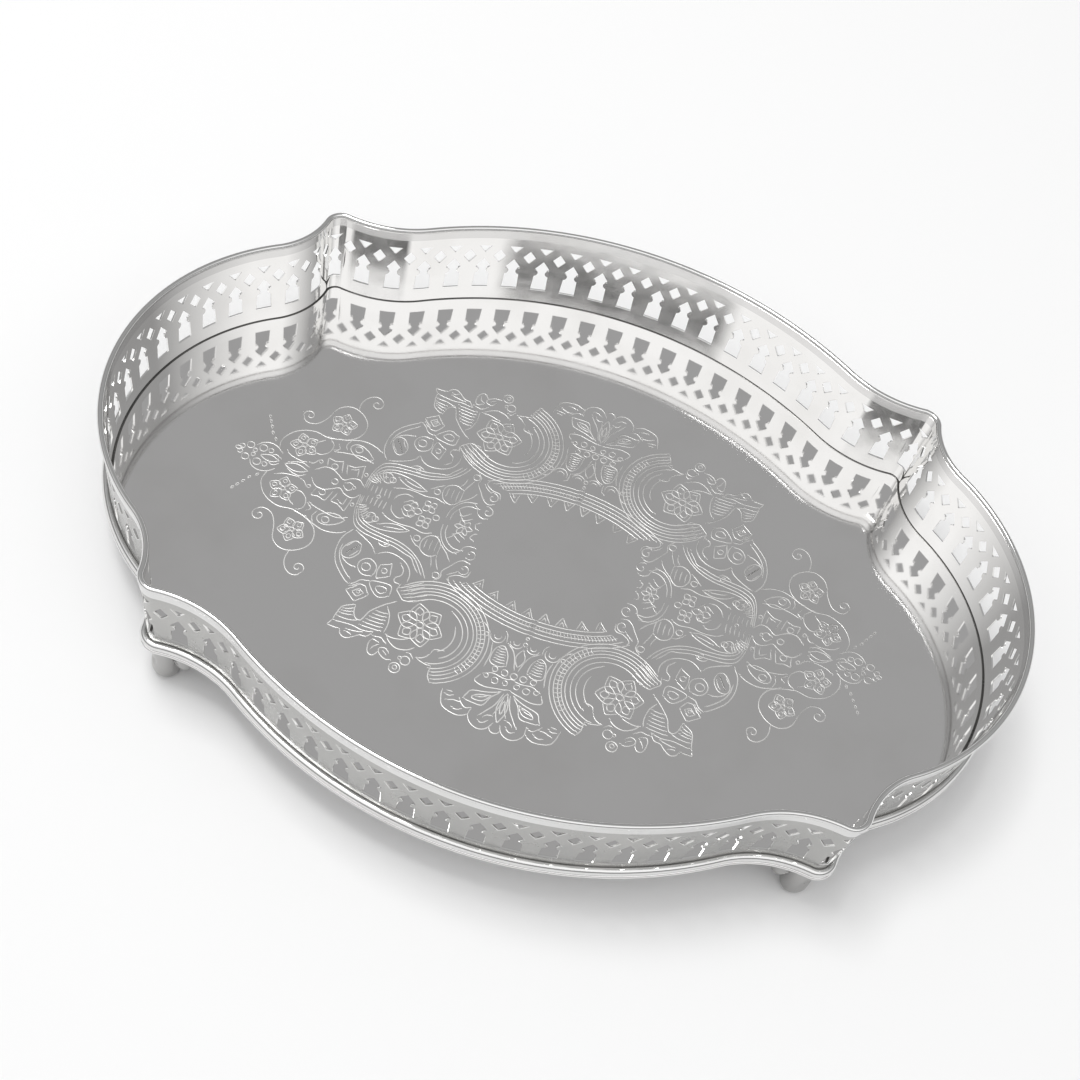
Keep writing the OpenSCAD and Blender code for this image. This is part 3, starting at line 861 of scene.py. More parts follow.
def curve(*points):
    """A smooth stroke through points: on each span, the cubic whose slope at a point is half the step
    between that point's neighbours."""
    p = np.array(points, float)
    p = np.vstack([2 * p[0] - p[1], p, 2 * p[-1] - p[-2]])
    t = np.linspace(0, 1, 8, endpoint=False)[:, None, None]
    a, b, c, d = p[:-3], p[1:-2], p[2:-1], p[3:]
    spans = (b + t / 2 * (c - a) + t ** 2 * (a - 2.5 * b + 2 * c - d / 2)
             + t ** 3 * (3 * b - 3 * c + d - a) / 2)
    return np.vstack([spans.transpose(1, 0, 2).reshape(-1, 2), p[-2]])


def loop(*points):
    """A smooth closed stroke through points."""
    return curve(*points, points[0])


def curl(x, y, radius, start, turns):
    """A spiral in to a point: the radius falls evenly with the angle, from the start in degrees."""
    t = np.linspace(0, 1, 12 + int(abs(turns) * 24))
    turn = math.radians(start) + turns * TURN * t
    reach = radius * (1 - 0.85 * t)
    return np.stack([x + reach * np.cos(turn), y + reach * np.sin(turn)], -1)


def petal(x, y, towards, start, reach, width, point=1.0):
    """A closed petal that leaves a flower's middle: its half width follows the sine of its length."""
    t = np.linspace(0, 1, 14)
    wide = width / 2 * np.sin(math.pi * t ** point)
    far = start + (reach - start) * t
    shape = np.vstack([np.stack([far, wide], -1), np.stack([far, -wide], -1)[-2::-1]])
    a = math.radians(towards)
    return [x, y] + shape @ np.array([[math.cos(a), math.sin(a)], [-math.sin(a), math.cos(a)]])


def flower(x, y, petals, reach, width, first=0.0, inner=True):
    """A flower of petals round a dot, each petal with a smaller one inside it."""
    strokes = [ring(x, y, reach * 0.14)]
    for k in range(petals):
        towards = first + 360 / petals * k
        strokes.append(petal(x, y, towards, reach * 0.16, reach, width, 0.75))
        if inner:
            strokes.append(petal(x, y, towards, reach * 0.42, reach * 0.8, width * 0.42))
    return strokes


def rungs(x, y, inner, outer, start, stop, count, squash=1.0):
    """Short strokes between two rings, like the rungs of a bent ladder."""
    turn = np.radians(np.linspace(start, stop, count))
    ray = np.stack([np.cos(turn), np.sin(turn) * squash], -1)
    return [np.array([x, y]) + r * np.array([[inner], [outer]]) for r in ray]


def hatch(first, last, count):
    """Strokes that lie evenly from one line to another, each given by its two ends."""
    share = np.linspace(0, 1, count)[:, None, None]
    return list(np.array(first) + share * (np.array(last) - np.array(first)))


def oval_border():
    """The oval at the middle: five lines of one oval family, a rope between two of them, and small
    triangles that point in from the inner one."""
    strokes = [arc(0, 0, 50.4 + 2.1 * k, 90, 52 - 2 * k, (33 + 2 * k) / (50.4 + 2.1 * k)) for k in range(5)]
    strokes += rungs(0, 0, 52.9, 56.2, 90, 50, 25, 0.672)
    for x, y, width, drop, slant in ((3.7, 32.8, 5.4, 5.2, 0), (11.6, 31.9, 5.4, 5.2, -0.4),
                                     (20.8, 29.8, 5.2, 4.6, -1.4), (28.6, 27, 5, 5, -1.7)):
        tip = (x + slant, y - drop)
        strokes.append(line((x - width / 2, y + 0.4), tip, (x + width / 2, y - 0.7)))
        strokes.append(line((x - width / 5, y - 0.3), (x + slant / 2, y - drop / 2),
                            (x + width / 5, y - 0.6)))
    return strokes


def great_scroll():
    """The C-scroll round the flower: seven lines of one middle that open to the tray's corner, the two
    outermost tied by rungs, with cut ends and a cusp at the top."""
    x, y = 39.5, 55.5
    strokes = [arc(x, y, r, 107 - bend, 318 + bend / 3)
               for r, bend in ((24.8, 0), (23, 0), (21.2, 1), (19.6, 2), (18, 4), (15.7, 8))]
    strokes += [arc(x, y, 13.4, 122, 250), arc(x + 1.5, y - 0.5, 11.5, 128, 208)]
    strokes += rungs(x, y, 19.6, 23, 138, 236, 19)
    strokes += [line((32.2, 79.2), (34, 76), (34.2, 71.6)), curve((34.2, 71.6), (37, 71.4), (41.5, 70.2)),
                curve((41.5, 70.2), (38.4, 68.8), (36.2, 66.2)),
                curve((36.2, 66.2), (35.6, 63.6), (33.6, 62.9), (31.2, 62.6)),
                line((51.5, 45.2), (56, 46), (60.2, 42), (59.4, 38.6))]
    strokes += hatch([(46, 41.6), (55, 46)], [(50.5, 34.2), (60, 41.2)], 5)
    return strokes


def flower_spray():
    """The six-petalled flower inside the great scroll and the small leaves and buds above it."""
    strokes = flower(45, 54.6, 6, 10.8, 8.6, 50)
    strokes += [ring(48, 78, 2.4), ring(48, 78, 1), ring(45, 73.2, 2.1), ring(47.6, 73, 0.8),
                curve((43.4, 66), (46.5, 68.3), (50.5, 69), (54, 67.4), (56.5, 65)),
                curve((47.5, 63.2), (50.5, 64.4), (54, 65), (57.2, 64.6)),
                curve((50.5, 75.4), (53.5, 75.6), (56.4, 73.8), (57, 71.6), (54.4, 70.8), (52.4, 72.8)),
                curve((53, 74), (55.4, 72.4)),
                curve((56.6, 73), (58.6, 76), (61, 75.2), (62, 71.4), (61, 68.6), (58, 69.6)),
                curve((57.6, 70.2), (59.6, 71.8), (60.4, 74)),
                line((42.2, 71.4), (44, 69), (46, 69.6)), line((55, 69), (58, 66.6), (62.4, 67.4))]
    return strokes


def striped_leaf():
    """The acanthus leaf outside the flower: its outline, its veins to the tip and its stripes."""
    strokes = [curve((62, 65.6), (64.2, 68.6), (67, 69), (69.6, 71.2), (72.2, 72.6), (74.6, 71.6),
                     (75.6, 69.6)), line((75.6, 69.6), (81.4, 69.4), (80, 66.6)),
               curve((80, 66.6), (79.6, 63), (78.6, 59), (76, 57), (73.6, 56)),
               curve((73.6, 56), (73, 59.4), (71.6, 61.8), (69.4, 62.4), (68.2, 60.2), (67.2, 57), (65, 54),
                     (61.6, 50.4), (58, 47.6)), curve((58, 64.4), (57.6, 60), (58.6, 55), (61, 51.4)),
               curve((62, 65.6), (67, 66.4), (72, 65.8), (80, 66.6)),
               curve((66, 67.4), (70.6, 68.2), (73.6, 68.6)), curve((69.4, 62.4), (73.6, 63.8), (79.4, 64)),
               curve((70.2, 70.6), (72, 69.6), (73.8, 70))]
    strokes += hatch([(59.2, 55), (65, 55.4)], [(59, 64), (69, 64.4)], 6)
    strokes += hatch([(73.4, 57.8), (78.2, 59.8)], [(73, 61.4), (79, 62.2)], 3)
    return strokes


def leaf_group():
    """The diamond, the two leaves and the striped oval beside them, inside a long double stem."""
    strokes = [line((70.4, 49.6), (75, 54.6), (80.2, 50.6), (75.6, 45.4), (73, 45.6), (70.4, 49.6)),
               line((72.6, 49.6), (75, 52), (77.6, 50.2), (75, 47.6), (72.6, 49.6)), ring(75, 49.7, 0.8),
               loop((62, 46.6), (66.4, 48.6), (70, 46.2), (72.2, 42.6), (68, 41.2), (62.8, 41.4)),
               loop((64, 45.4), (66.6, 46.6), (69, 44.4), (66.8, 43), (64.2, 43.4)),
               curve((72.2, 42.6), (76, 43.4), (78.2, 46), (80.6, 47.6)), curve((76.4, 47), (79.4, 49.8)),
               curve((76, 45.4), (79.8, 48.6)),
               curve((80.6, 47.6), (85.2, 43.8), (89.2, 39.4), (91.3, 34), (91.6, 28.6), (90.6, 24.4),
                     (88.2, 20.6)),
               curve((80.4, 45), (84.4, 41.6), (87.8, 37.6), (89.6, 33.4), (89.8, 29.4)),
               loop((72.6, 40.2), (77, 40.4), (79.8, 37.4), (79.4, 34), (76.2, 31.8), (72.6, 33.8),
                    (71.8, 37)), ring(76.4, 36.4, 2),
               line((65.2, 37), (70.4, 40.2), (71.2, 36.6), (71, 33), (66.4, 30.6), (65.2, 37)),
               ring(68.4, 35.2, 1.3), curve((80.4, 38.6), (84, 38), (86.6, 36.6), (88.4, 35)),
               loop((82, 27), (81.6, 31), (84.4, 35), (88, 35), (89, 31.6), (87, 27.4), (84.4, 25.6))]
    strokes += hatch([(83, 27.4), (87.4, 33.8)], [(85.6, 26.6), (88.6, 30.6)], 2)
    strokes += hatch([(82.2, 30), (85, 34.4)], [(83, 27.4), (87.4, 33.8)], 2)
    return strokes


def lower_straps():
    """The bands that run down from the great scroll to the end's flower, their cusp and their hook."""
    strokes = []
    for lift in (0, 1.9, 3.9):
        strokes.append(curve((51 + lift, 32 - lift / 3), (54 + lift, 27), (58 + lift / 2, 23 + lift / 3),
                             (63, 20 + lift * 0.9), (69, 18.3 + lift * 0.9), (76, 17.8 + lift * 0.9),
                             (83 + lift / 4, 16.8 + lift * 0.9), (88 + lift / 4, 14 + lift * 0.9),
                             (90 + lift / 2.6, 9 + lift / 3), (90.4 + lift / 2.6, 2)))
    strokes += [curve((57.4, 37), (57.6, 32.6), (60, 28.6), (64, 26.2), (69, 25.4), (72.4, 26.6), (75, 29)),
                curve((75, 29), (77.4, 25.6), (82, 22.8), (87.2, 20.6)),
                curve((60, 39.2), (62.6, 38.6), (62.8, 36.4), (60.9, 34.6), (60.9, 31.4), (63.6, 28.6)),
                curve((70.4, 21.8), (72.6, 23.4), (75.2, 23), (76.6, 21.4)), ring(72.9, 21.2, 1.2),
                curve((65.4, 11.6), (69.6, 13.8), (75, 15.4), (80, 15.8), (84.6, 14.8), (87.8, 12.2)),
                curve((65.4, 11.6), (70.4, 10.4), (75.6, 11.4), (80, 14)),
                curve((68, 12.1), (73, 12.8), (77, 14)), curl(84.2, 11, 3.9, 40, 1.2),
                ring(81.6, 11.4, 1.5), curve((87.8, 12.2), (88.4, 9.6), (86, 7.4)),
                curve((56, 8.6), (60, 10), (65, 9.2), (71, 9.6), (76, 9), (80, 7.2)),
                curve((70, 6), (73, 6.8), (76.4, 4.6), (77.6, 1.6)), curve((67, 3), (70, 4.4), (73, 1.8))]
    strokes += hatch([(80, 1), (80.4, 5.6)], [(88.6, 1), (88.6, 5.2)], 5)
    strokes += rungs(83, 5.5, 4.6, 9.2, 12, 72, 7)
    return strokes


def left_column():
    """The small curls down the oval's side, the striped seed pod and the crossed straps beside it."""
    strokes = [curl(36.9, 20.6, 3.1, 60, 1.1), curl(36.6, 12.2, 3.1, 60, 1.1),
               curve((40.6, 29.8), (41.6, 27), (38.4, 24.6), (34.6, 24), (33.6, 20.6)),
               curve((35, 17.4), (38, 16.4), (40.6, 18), (43, 21.6), (45.4, 25.4), (45, 28.6),
                     (47.4, 31.6)), curve((38.4, 22.6), (41, 24.6), (42.8, 26.4)), ring(47.2, 28.4, 1.6),
               curve((35.4, 8.6), (38, 8.2), (40.4, 9.6), (41.6, 12.6), (44, 14.4)),
               curve((44, 19.6), (46.4, 16), (50, 12.6), (53.2, 9)),
               curve((42.4, 14.6), (46.8, 13.8), (50.4, 10.6), (52.4, 6.4), (53, 2)),
               curve((40.2, 12), (45, 12), (48.6, 9.4), (50.6, 5.6), (51, 1.6)),
               line((43, 8.4), (46.6, 5.4), (49.2, 8.6)), line((41.6, 5.8), (45, 3.6), (47.8, 5.6)),
               loop((50.2, 18.8), (54, 20.4), (57.8, 18.6), (58.8, 14.4), (57, 10.6), (53.4, 9.4),
                    (50.4, 12.4)), curve((47.4, 25.8), (49.4, 21.4), (50.2, 18.8)),
               curve((50.6, 25.6), (51.2, 22.8), (52.4, 20.4)),
               curve((58.8, 18), (61.4, 16.6), (64.4, 13.6)), ring(61.2, 13.6, 1.5),
               line((37.4, 5.4), (39.8, 4), (38.8, 1.6), (37.2, 1))]
    strokes += hatch([(52, 11.6), (52, 18)], [(56.8, 12.4), (56.8, 17.4)], 3)
    strokes += flower(61.4, 4.4, 4, 3.8, 3, 45, False)
    return strokes


def end_flower():
    """The ruffled square flower between the straps and the end's sprays, and the leaf above it."""
    strokes = [curve((90.8, 23.2), (95, 25.4), (100.4, 26.2), (105.6, 24.8), (110.4, 22.4)),
               curve((106, 24.6), (107.4, 21), (106.2, 18)), ring(101.4, 20.8, 1.7),
               loop((93.4, 18), (96.2, 21), (100.4, 23.2), (104, 22.8), (105.2, 20), (102, 17), (97, 16.2)),
               curve((92.8, 16), (98, 17.8), (104, 17), (108, 16.2), (111.4, 15)),
               line((94.6, 5.6), (95.6, 13.4), (99.6, 10.8), (103, 10.6), (101.6, 5.6)),
               line((96.8, 6.4), (97.4, 10.4), (100.6, 8.8)),
               line((103.8, 5.4), (105.4, 11.6), (108.8, 10.4), (112.2, 11), (111.2, 6.6)),
               ring(108, 7.6, 1.5),
               curve((92, 2.2), (95, 5.2), (98.6, 4.6), (101.8, 2.4), (104.6, 4), (108, 5.8), (112, 5.6),
                     (115.4, 2.2)), curve((96, 0.6), (98.4, 2.2), (101, 0.6)), ring(93.6, 8.8, 0.9),
               ring(114.6, 7.4, 0.9)]
    return strokes


def end_spray():
    """The end's spray: two round stems with a flower in each, curled tendrils, a dotted twig and buds."""
    strokes = [curve((109.6, 41.8), (109.9, 46), (108.4, 50), (105.4, 52.4), (102.4, 52.2), (100.6, 50)),
               curl(103, 48.4, 2.9, 150, 1.15),
               curve((120, 35), (118.2, 39.2), (114.6, 41.8), (110.6, 42), (106.2, 39.8), (103, 35.8),
                     (102.6, 31), (104.6, 26.6), (108.4, 23.8), (113, 22.2), (117, 21.6)),
               curve((119.4, 36.6), (121, 31.4), (123.4, 27.4), (126.2, 25.8), (129.4, 26), (131.4, 28.4)),
               curl(128.8, 29.8, 3, -25, 1.15),
               curve((110.6, 22.8), (116.6, 21.4), (123, 22.2), (129, 20.2), (133, 16.4), (135, 11.6),
                     (134.2, 6.6)),
               curve((115.6, 21.4), (112.6, 18.4), (113.2, 14), (116.4, 11.2), (119.6, 11.6)),
               curve((111, 20), (109.4, 17.6), (112, 15.6)), curve((117, 19.4), (119.6, 17.4), (121.6, 15)),
               curve((131.6, 4.4), (134.6, 7), (138.4, 8), (142, 6.8), (144, 4)),
               curve((120, 4.6), (123, 4.4), (128, 5.4), (131, 7.4)), ring(140.6, 4, 1.8),
               ring(146.4, 3.4, 1.7), ring(149.6, 1.4, 1.2), ring(137, 4, 1.2),
               curve((118, 2), (121, 3.6), (124.6, 3), (128, 1.2)),
               curve((131, 1.2), (134, 3), (136.6, 1.2)), ring(143.6, 1.2, 1),
               curve((115.6, 8), (117.4, 5.4), (119.6, 5))]
    strokes += flower(112.8, 31.4, 5, 6.4, 5, 90) + flower(124.6, 13, 5, 6.8, 5, 60)
    for x, y in ((137.6, 10.6), (140.2, 13.4), (141.8, 16.4), (143.4, 19), (144.8, 21.4)):
        strokes.append(petal(x, y, 58, -1, 1, 1.1))
    return strokes


def palmette():
    """The fan at the middle of each long side: lobes, spear leaves, scrolls beside it and a bell below."""
    strokes = [curve((1.4, 86.6), (3.4, 90), (6.8, 91.4), (10.4, 90), (12.4, 86.8), (12, 83.4)),
               curve((3.6, 86.2), (6, 88.2), (8.4, 87.6)), curve((2.4, 83.8), (5, 84), (6.4, 85.8)),
               curve((12.4, 86.8), (16, 88.6), (20, 88.4), (23.8, 86.8), (25.4, 83.4), (26.2, 79.4)),
               curve((15.4, 85.4), (18, 86.4), (20.4, 86)), curve((16.6, 82.8), (20, 82.6), (23.6, 84)),
               curve((20.6, 80.6), (22.6, 81.4), (25, 81.2)), curve((21.6, 79.4), (24.2, 79.6)),
               curve((12, 83.4), (14.6, 84.2), (16.6, 82.8), (18.4, 80.8)),
               curve((2.6, 71.6), (6, 75.6), (8.2, 80.4), (12.6, 80.8), (17, 80.4)),
               curve((2.6, 71.6), (8, 73.8), (14.4, 75.4), (16, 78), (17, 80.4)),
               loop((6, 75), (9, 78.6), (13.6, 78.8), (11.6, 76.4)), curve((7.6, 76.2), (12.4, 77.8)),
               curve((1.4, 72), (3.2, 78), (6.2, 82.6), (8.6, 86)), curve((0.8, 74), (1.4, 79), (2.8, 83)),
               curve((0, 69.8), (5, 70.8), (10.6, 71.8), (15, 70.4), (13.4, 67)), ring(7, 67.4, 1.5),
               ring(11.2, 66.4, 1.1), ring(2.6, 67, 1.2), curve((0, 64.6), (4, 65), (9, 64.4), (13, 66.4)),
               ring(4.2, 62.4, 1.5), ring(8.6, 62.2, 1.3),
               curve((0.8, 60), (2.4, 54), (4.4, 50.4), (7.4, 48.4)),
               loop((4.6, 59.4), (5.4, 54), (8.2, 50.2), (11.4, 52.6), (12, 59), (8.4, 60.6)),
               curve((13.4, 63), (12.6, 56), (13.6, 50.4)), arc(3.8, 46.4, 3, 170, 10),
               arc(12.4, 46.6, 3.2, 200, 0), arc(3.8, 46.4, 1.5, 180, 0), arc(12.4, 46.4, 1.6, 200, 0),
               curve((8, 48.6), (8.4, 44.6), (10, 43)), curve((16, 46.4), (18.4, 43.4), (20.6, 42.4)),
               ring(17.4, 47.6, 1)]
    strokes += hatch([(5.6, 58.6), (11, 58.6)], [(7, 51.8), (10.4, 51.8)], 6)
    return strokes


def middle_marks():
    """Strokes that stand on the long sides' middle line: the palmette's top lobe, spear and drop."""
    return [arc(0, 88.6, 2.4, -20, 200), petal(0, 0, 90, 71.4, 86, 4.4), petal(0, 0, 90, 75, 82, 1.6),
            petal(0, 0, 90, 49, 58, 4), ring(0, 62.6, 1.5), ring(0, 46.4, 1), ring(0, 43.2, 0.8)]


def end_marks():
    """Strokes that stand on the ends' middle line."""
    return [ring(105, 0, 1.5), *flower(68, 0, 4, 4.6, 3.4, 0, False), ring(57, 0, 1.5), ring(84.4, 0, 0.9),
            petal(118, 0, 0, 0, 11, 4), petal(131.6, 0, 0, 0, 9, 3.4), *flower(44, 0, 6, 4.4, 2.4, 0, False),
            petal(150, 0, 0, -1.2, 2.6, 2), ring(96, 0, 0.8)]


def chased_strokes():
    """Every stroke of the chasing: the quarter's four times over, and those on a middle line twice."""
    quarter_strokes = [*oval_border(), *great_scroll(), *flower_spray(), *striped_leaf(), *leaf_group(),
                       *lower_straps(), *left_column(), *end_flower(), *end_spray(), *palmette()]
    strokes = [s * [x, y] for x in (1, -1) for y in (1, -1) for s in quarter_strokes]
    strokes += [s * [1, y] for y in (1, -1) for s in middle_marks()]
    strokes += [s * [x, 1] for x in (1, -1) for s in end_marks()]
    return strokes


def evened(stroke, step):
    """The same stroke with its points an even step apart along its length."""
    run = np.concatenate([[0], np.cumsum(np.linalg.norm(np.diff(stroke, axis=0), axis=1))])
    s = np.linspace(0, run[-1], max(4, math.ceil(run[-1] / step) + 1))
    return np.stack([np.interp(s, run, stroke[:, k]) for k in (0, 1)], -1)


def build_chasing(chasing, step=0.85 * MM):
    """The chased lines: along each stroke runs a shallow cut between two burrs, whose width thins
    towards the stroke's ends as the graver enters and leaves."""
    turn = -chasing.turn
    spin = np.array([[math.cos(turn), math.sin(turn)], [-math.sin(turn), math.cos(turn)]])
    h = chasing.burr_h
    section = np.array([[0.5, -h], [0.32, h], [0, h / 4], [-0.32, h], [-0.5, -h]])
    verts, faces = [], []
    total = 0
    for stroke in chased_strokes():
        line_points = evened(stroke * MM, step) @ spin + [chasing.shift_x, -chasing.shift_y]
        ahead = np.gradient(line_points, axis=0)
        ahead /= np.linalg.norm(ahead, axis=1)[:, None]
        side = np.stack([-ahead[:, 1], ahead[:, 0]], -1)
        rows = len(line_points)
        taper = np.minimum(np.arange(rows), np.arange(rows)[::-1]) / 2
        width = chasing.line_w * np.clip(0.45 + 0.55 * taper, 0, 1)
        flat = line_points[:, None] + side[:, None] * (width[:, None] * section[:, 0])[..., None]
        high = np.broadcast_to(FLOOR_TOP + section[:, 1:], (rows, len(section), 1))
        ring_ids = np.arange(len(section))
        verts.append(np.concatenate([flat, high], -1).reshape(-1, 3))
        faces.append(grid_quads(rows, len(section), False, True) + total)
        caps = np.stack([ring_ids[::-1], (rows - 1) * len(section) + ring_ids])
        faces.append(caps + total)
        total += len(verts[-1])
    quads = np.vstack([f for f in faces if f.shape[1] == 4])
    caps = np.vstack([f for f in faces if f.shape[1] == 5])
    return np.vstack(verts), [quads, caps[:, ::-1]]


# ---------------------------------------------------------------- the stage

# Camera: bearing from the front, height angle, roll, distance and the point looked at
VIEW_AZ = math.radians(1.82)
VIEW_EL = math.radians(55.21)
VIEW_ROLL = math.radians(17.31)
VIEW_DISTANCE = 697.25 * MM
VIEW_TARGET = np.array([-7.77 * MM, 3.64 * MM, FLOOR_TOP])
LENS = 52.06
SENSOR = 36

# Studio: brightness in front, behind, in the low band and at the horizon; the heights, as the sine of
# the angle, over which these fade; and the dark screen's edges, as heights and as shares to the right
FRONT_LIGHT = 1.27
BACK_LIGHT = 0.41
LOW_LIGHT = 0.32
HORIZON_LIGHT = 1.0
HORIZON_FADE = (0.13, 0.18)
LOW_FADE = (0.56, 0.62)
SCREEN_FOOT = (0.650, 0.660)
SCREEN_TOP = (0.677, 0.685)
SCREEN_LEFT = (-0.41, -0.34)
SCREEN_RIGHT = (0.51, 0.58)
SCREEN_DIM = 0.11
# How far back a direction points, as the sine of its bearing, where the room turns from bright to grey
# and where the screen ends
ROOM_TURN = (-0.45, 0.55)
SCREEN_AHEAD = (-0.5, -0.3)
KEY_PLACE = (-0.75, 0.18, 2.9)
KEY_SIZE = (1, 1)
KEY_WATTS = 36
TABLE_HALF = 6.0


def add_camera():
    """The camera: it looks at the target from the bearing and height, rolled about its own axis."""
    back = np.array([math.sin(VIEW_AZ) * math.cos(VIEW_EL), -math.cos(VIEW_AZ) * math.cos(VIEW_EL),
                     math.sin(VIEW_EL)])
    right = np.cross([0, 0, 1], back)
    right /= np.linalg.norm(right)
    up = np.cross(back, right)
    x = math.cos(VIEW_ROLL) * right + math.sin(VIEW_ROLL) * up
    y = math.cos(VIEW_ROLL) * up - math.sin(VIEW_ROLL) * right
    data = bpy.data.cameras.new("tray_view")
    data.lens = LENS
    data.sensor_width = SENSOR
    data.clip_end = 50
    camera = bpy.data.objects.new("tray_view", data)
    bpy.context.scene.collection.objects.link(camera)
    turn = Matrix(np.column_stack([x, y, back]).tolist()).to_4x4()
    turn.translation = Vector(VIEW_TARGET + VIEW_DISTANCE * back)
    camera.matrix_world = turn
    bpy.context.scene.camera = camera


def add_softbox(name, place, aim, size, watts):
    """A soft rectangular light at a place, aimed at a point."""
    data = bpy.data.lights.new(name, "AREA")
    data.shape = "RECTANGLE"
    data.size, data.size_y = size
    data.energy = watts
    light = bpy.data.objects.new(name, data)
    light.location = place
    light.rotation_euler = (Vector(aim) - Vector(place)).to_track_quat("-Z", "Y").to_euler()
    bpy.context.scene.collection.objects.link(light)


def worked(tree, operation, *values):
    """One step of arithmetic on sockets and plain numbers."""
    node = tree.nodes.new("ShaderNodeMath")
    node.operation = operation
    for socket, value in zip(node.inputs, values):
        if isinstance(value, bpy.types.NodeSocket):
            tree.links.new(value, socket)
        else:
            socket.default_value = value
    return node.outputs["Value"]


def add_studio(tone):
    """The light from all round: bright in front and grey behind, by the share of a direction's level
    part that points back, dimmer in a low band, pale at the horizon, and with a dark screen in front."""
    world = bpy.data.worlds.new("studio")
    world.use_nodes = True
    tree = world.node_tree
    background = tree.nodes["Background"]
    parts = tree.nodes.new("ShaderNodeSeparateXYZ")
    tree.links.new(tree.nodes.new("ShaderNodeTexCoord").outputs["Generated"], parts.inputs["Vector"])
    x, y, z = parts.outputs
    level = worked(tree, "SQRT", worked(tree, "ADD", worked(tree, "MULTIPLY", x, x),
                                        worked(tree, "MULTIPLY", y, y)))
    back = worked(tree, "DIVIDE", y, level)
    across = worked(tree, "DIVIDE", x, level)
    broad = spread(tree, back, *ROOM_TURN, FRONT_LIGHT, BACK_LIGHT)
    high = spread(tree, z, *LOW_FADE, 0, 1)
    low = spread(tree, z, *HORIZON_FADE, HORIZON_LIGHT, LOW_LIGHT)
    low = worked(tree, "MULTIPLY", low, worked(tree, "SUBTRACT", 1, high))
    light = worked(tree, "ADD", worked(tree, "MULTIPLY", broad, high), low)
    screen = spread(tree, back, *SCREEN_AHEAD, 1, 0)
    for value, first, last, start, end in ((z, *SCREEN_FOOT, 0, 1), (z, *SCREEN_TOP, 1, 0),
                                           (across, *SCREEN_LEFT, 0, 1), (across, *SCREEN_RIGHT, 1, 0)):
        screen = worked(tree, "MULTIPLY", screen, spread(tree, value, first, last, start, end))
    light = worked(tree, "MULTIPLY", light, spread(tree, screen, 0, 1, 1, SCREEN_DIM))
    background.inputs["Color"].default_value = (*tone, 1)
    tree.links.new(light, background.inputs["Strength"])
    bpy.context.scene.world = world


def add_table(tone):
    """The pale floor that the tray stands on."""
    mesh = bpy.data.meshes.new("table")
    corners = [(x * TABLE_HALF, y * TABLE_HALF, 0) for x, y in ((-1, -1), (1, -1), (1, 1), (-1, 1))]
    mesh.from_pydata(corners, [], [(0, 1, 2, 3)])
    table = bpy.data.objects.new("table", mesh)
    bpy.context.scene.collection.objects.link(table)
    material = bpy.data.materials.new("table")
    material.use_nodes = True
    shader = material.node_tree.nodes["Principled BSDF"]
    shader.inputs["Base Color"].default_value = (*tone, 1)
    shader.inputs["Roughness"].default_value = 0.8
    shader.inputs["Specular IOR Level"].default_value = 0.2
    mesh.materials.append(material)


# ---------------------------------------------------------------- operators

def finish():
    """The scene's colours and gloss."""
    return bpy.context.scene.tray_finish


def layout():
    """The outline's runs, from the scene's sizes."""
    return Layout(bpy.context.scene.tray_pan, bpy.context.scene.tray_wall)


class TRAY_OT_pan(bpy.types.Operator):
    """Builds the floor pan with its rolled edge"""
    bl_idname = "tray.pan"
    bl_label = "Floor Pan"

    def execute(self, context):
        verts, faces = build_pan(context.scene.tray_pan, layout().loop)
        plate = silver_plate("floor_plate", "floor_tone", finish().gloss, 0.02, 90, 0.002)
        finish_piece(add_piece("floor_pan", verts, faces), plate, "floor_plate", "tray_floor")
        return {"FINISHED"}


class TRAY_OT_gallery(bpy.types.Operator):
    """Builds the four runs of the pierced wall"""
    bl_idname = "tray.gallery"
    bl_label = "Pierced Wall"

    def execute(self, context):
        plan = layout()
        plate = silver_plate("wall_plate", "wall_tone", 0.05, 0.03, 14, 0.001)
        # The outer faces get their own darker plate: painted shade on the same silver as the inner faces
        outer_shade_plate = silver_plate("wall_outside_painted_shade", "outer_shade_tone", 0.22, 0.1, 9, 0.004)
        for side in SIDES:
            verts, faces, normals, outer = build_wall(context.scene.tray_wall, plan, side)
            verts, faces = welded(verts, faces)
            piece = add_piece(f"pierced_wall_{side}", verts, faces, normals=normals)
            finish_piece(piece, plate, "silver_gallery", f"gallery_{side}")
            piece.data.materials.append(outer_shade_plate)
            piece.data.polygons.foreach_set("material_index", outer.astype(np.int32))
        return {"FINISHED"}


class TRAY_OT_trim(bpy.types.Operator):
    """Builds the rim wire and the base moulding, four runs of each"""
    bl_idname = "tray.trim"
    bl_label = "Rim and Moulding"

    def execute(self, context):
        plan = layout()
        wall, trim = context.scene.tray_wall, context.scene.tray_trim
        rim = silver_plate("rim_plate", "trim_tone", 0.08, 0.02, 30, 0.002)
        base = silver_plate("moulding_plate", "trim_tone", 0.08, 0.02, 30, 0.002)
        for side in SIDES:
            base_line, out = stations(plan.runs[side])
            verts, faces = swept(base_line, out, rim_section(wall, trim))
            finish_piece(add_piece(f"rim_wire_{side}", verts, faces), rim, "silver_rim", f"rim_{side}")
            verts, faces = swept(base_line, out, moulding_section(wall, trim))
            finish_piece(add_piece(f"base_moulding_{side}", verts, faces), base, "silver_moulding",
                         f"moulding_{side}")
        return {"FINISHED"}


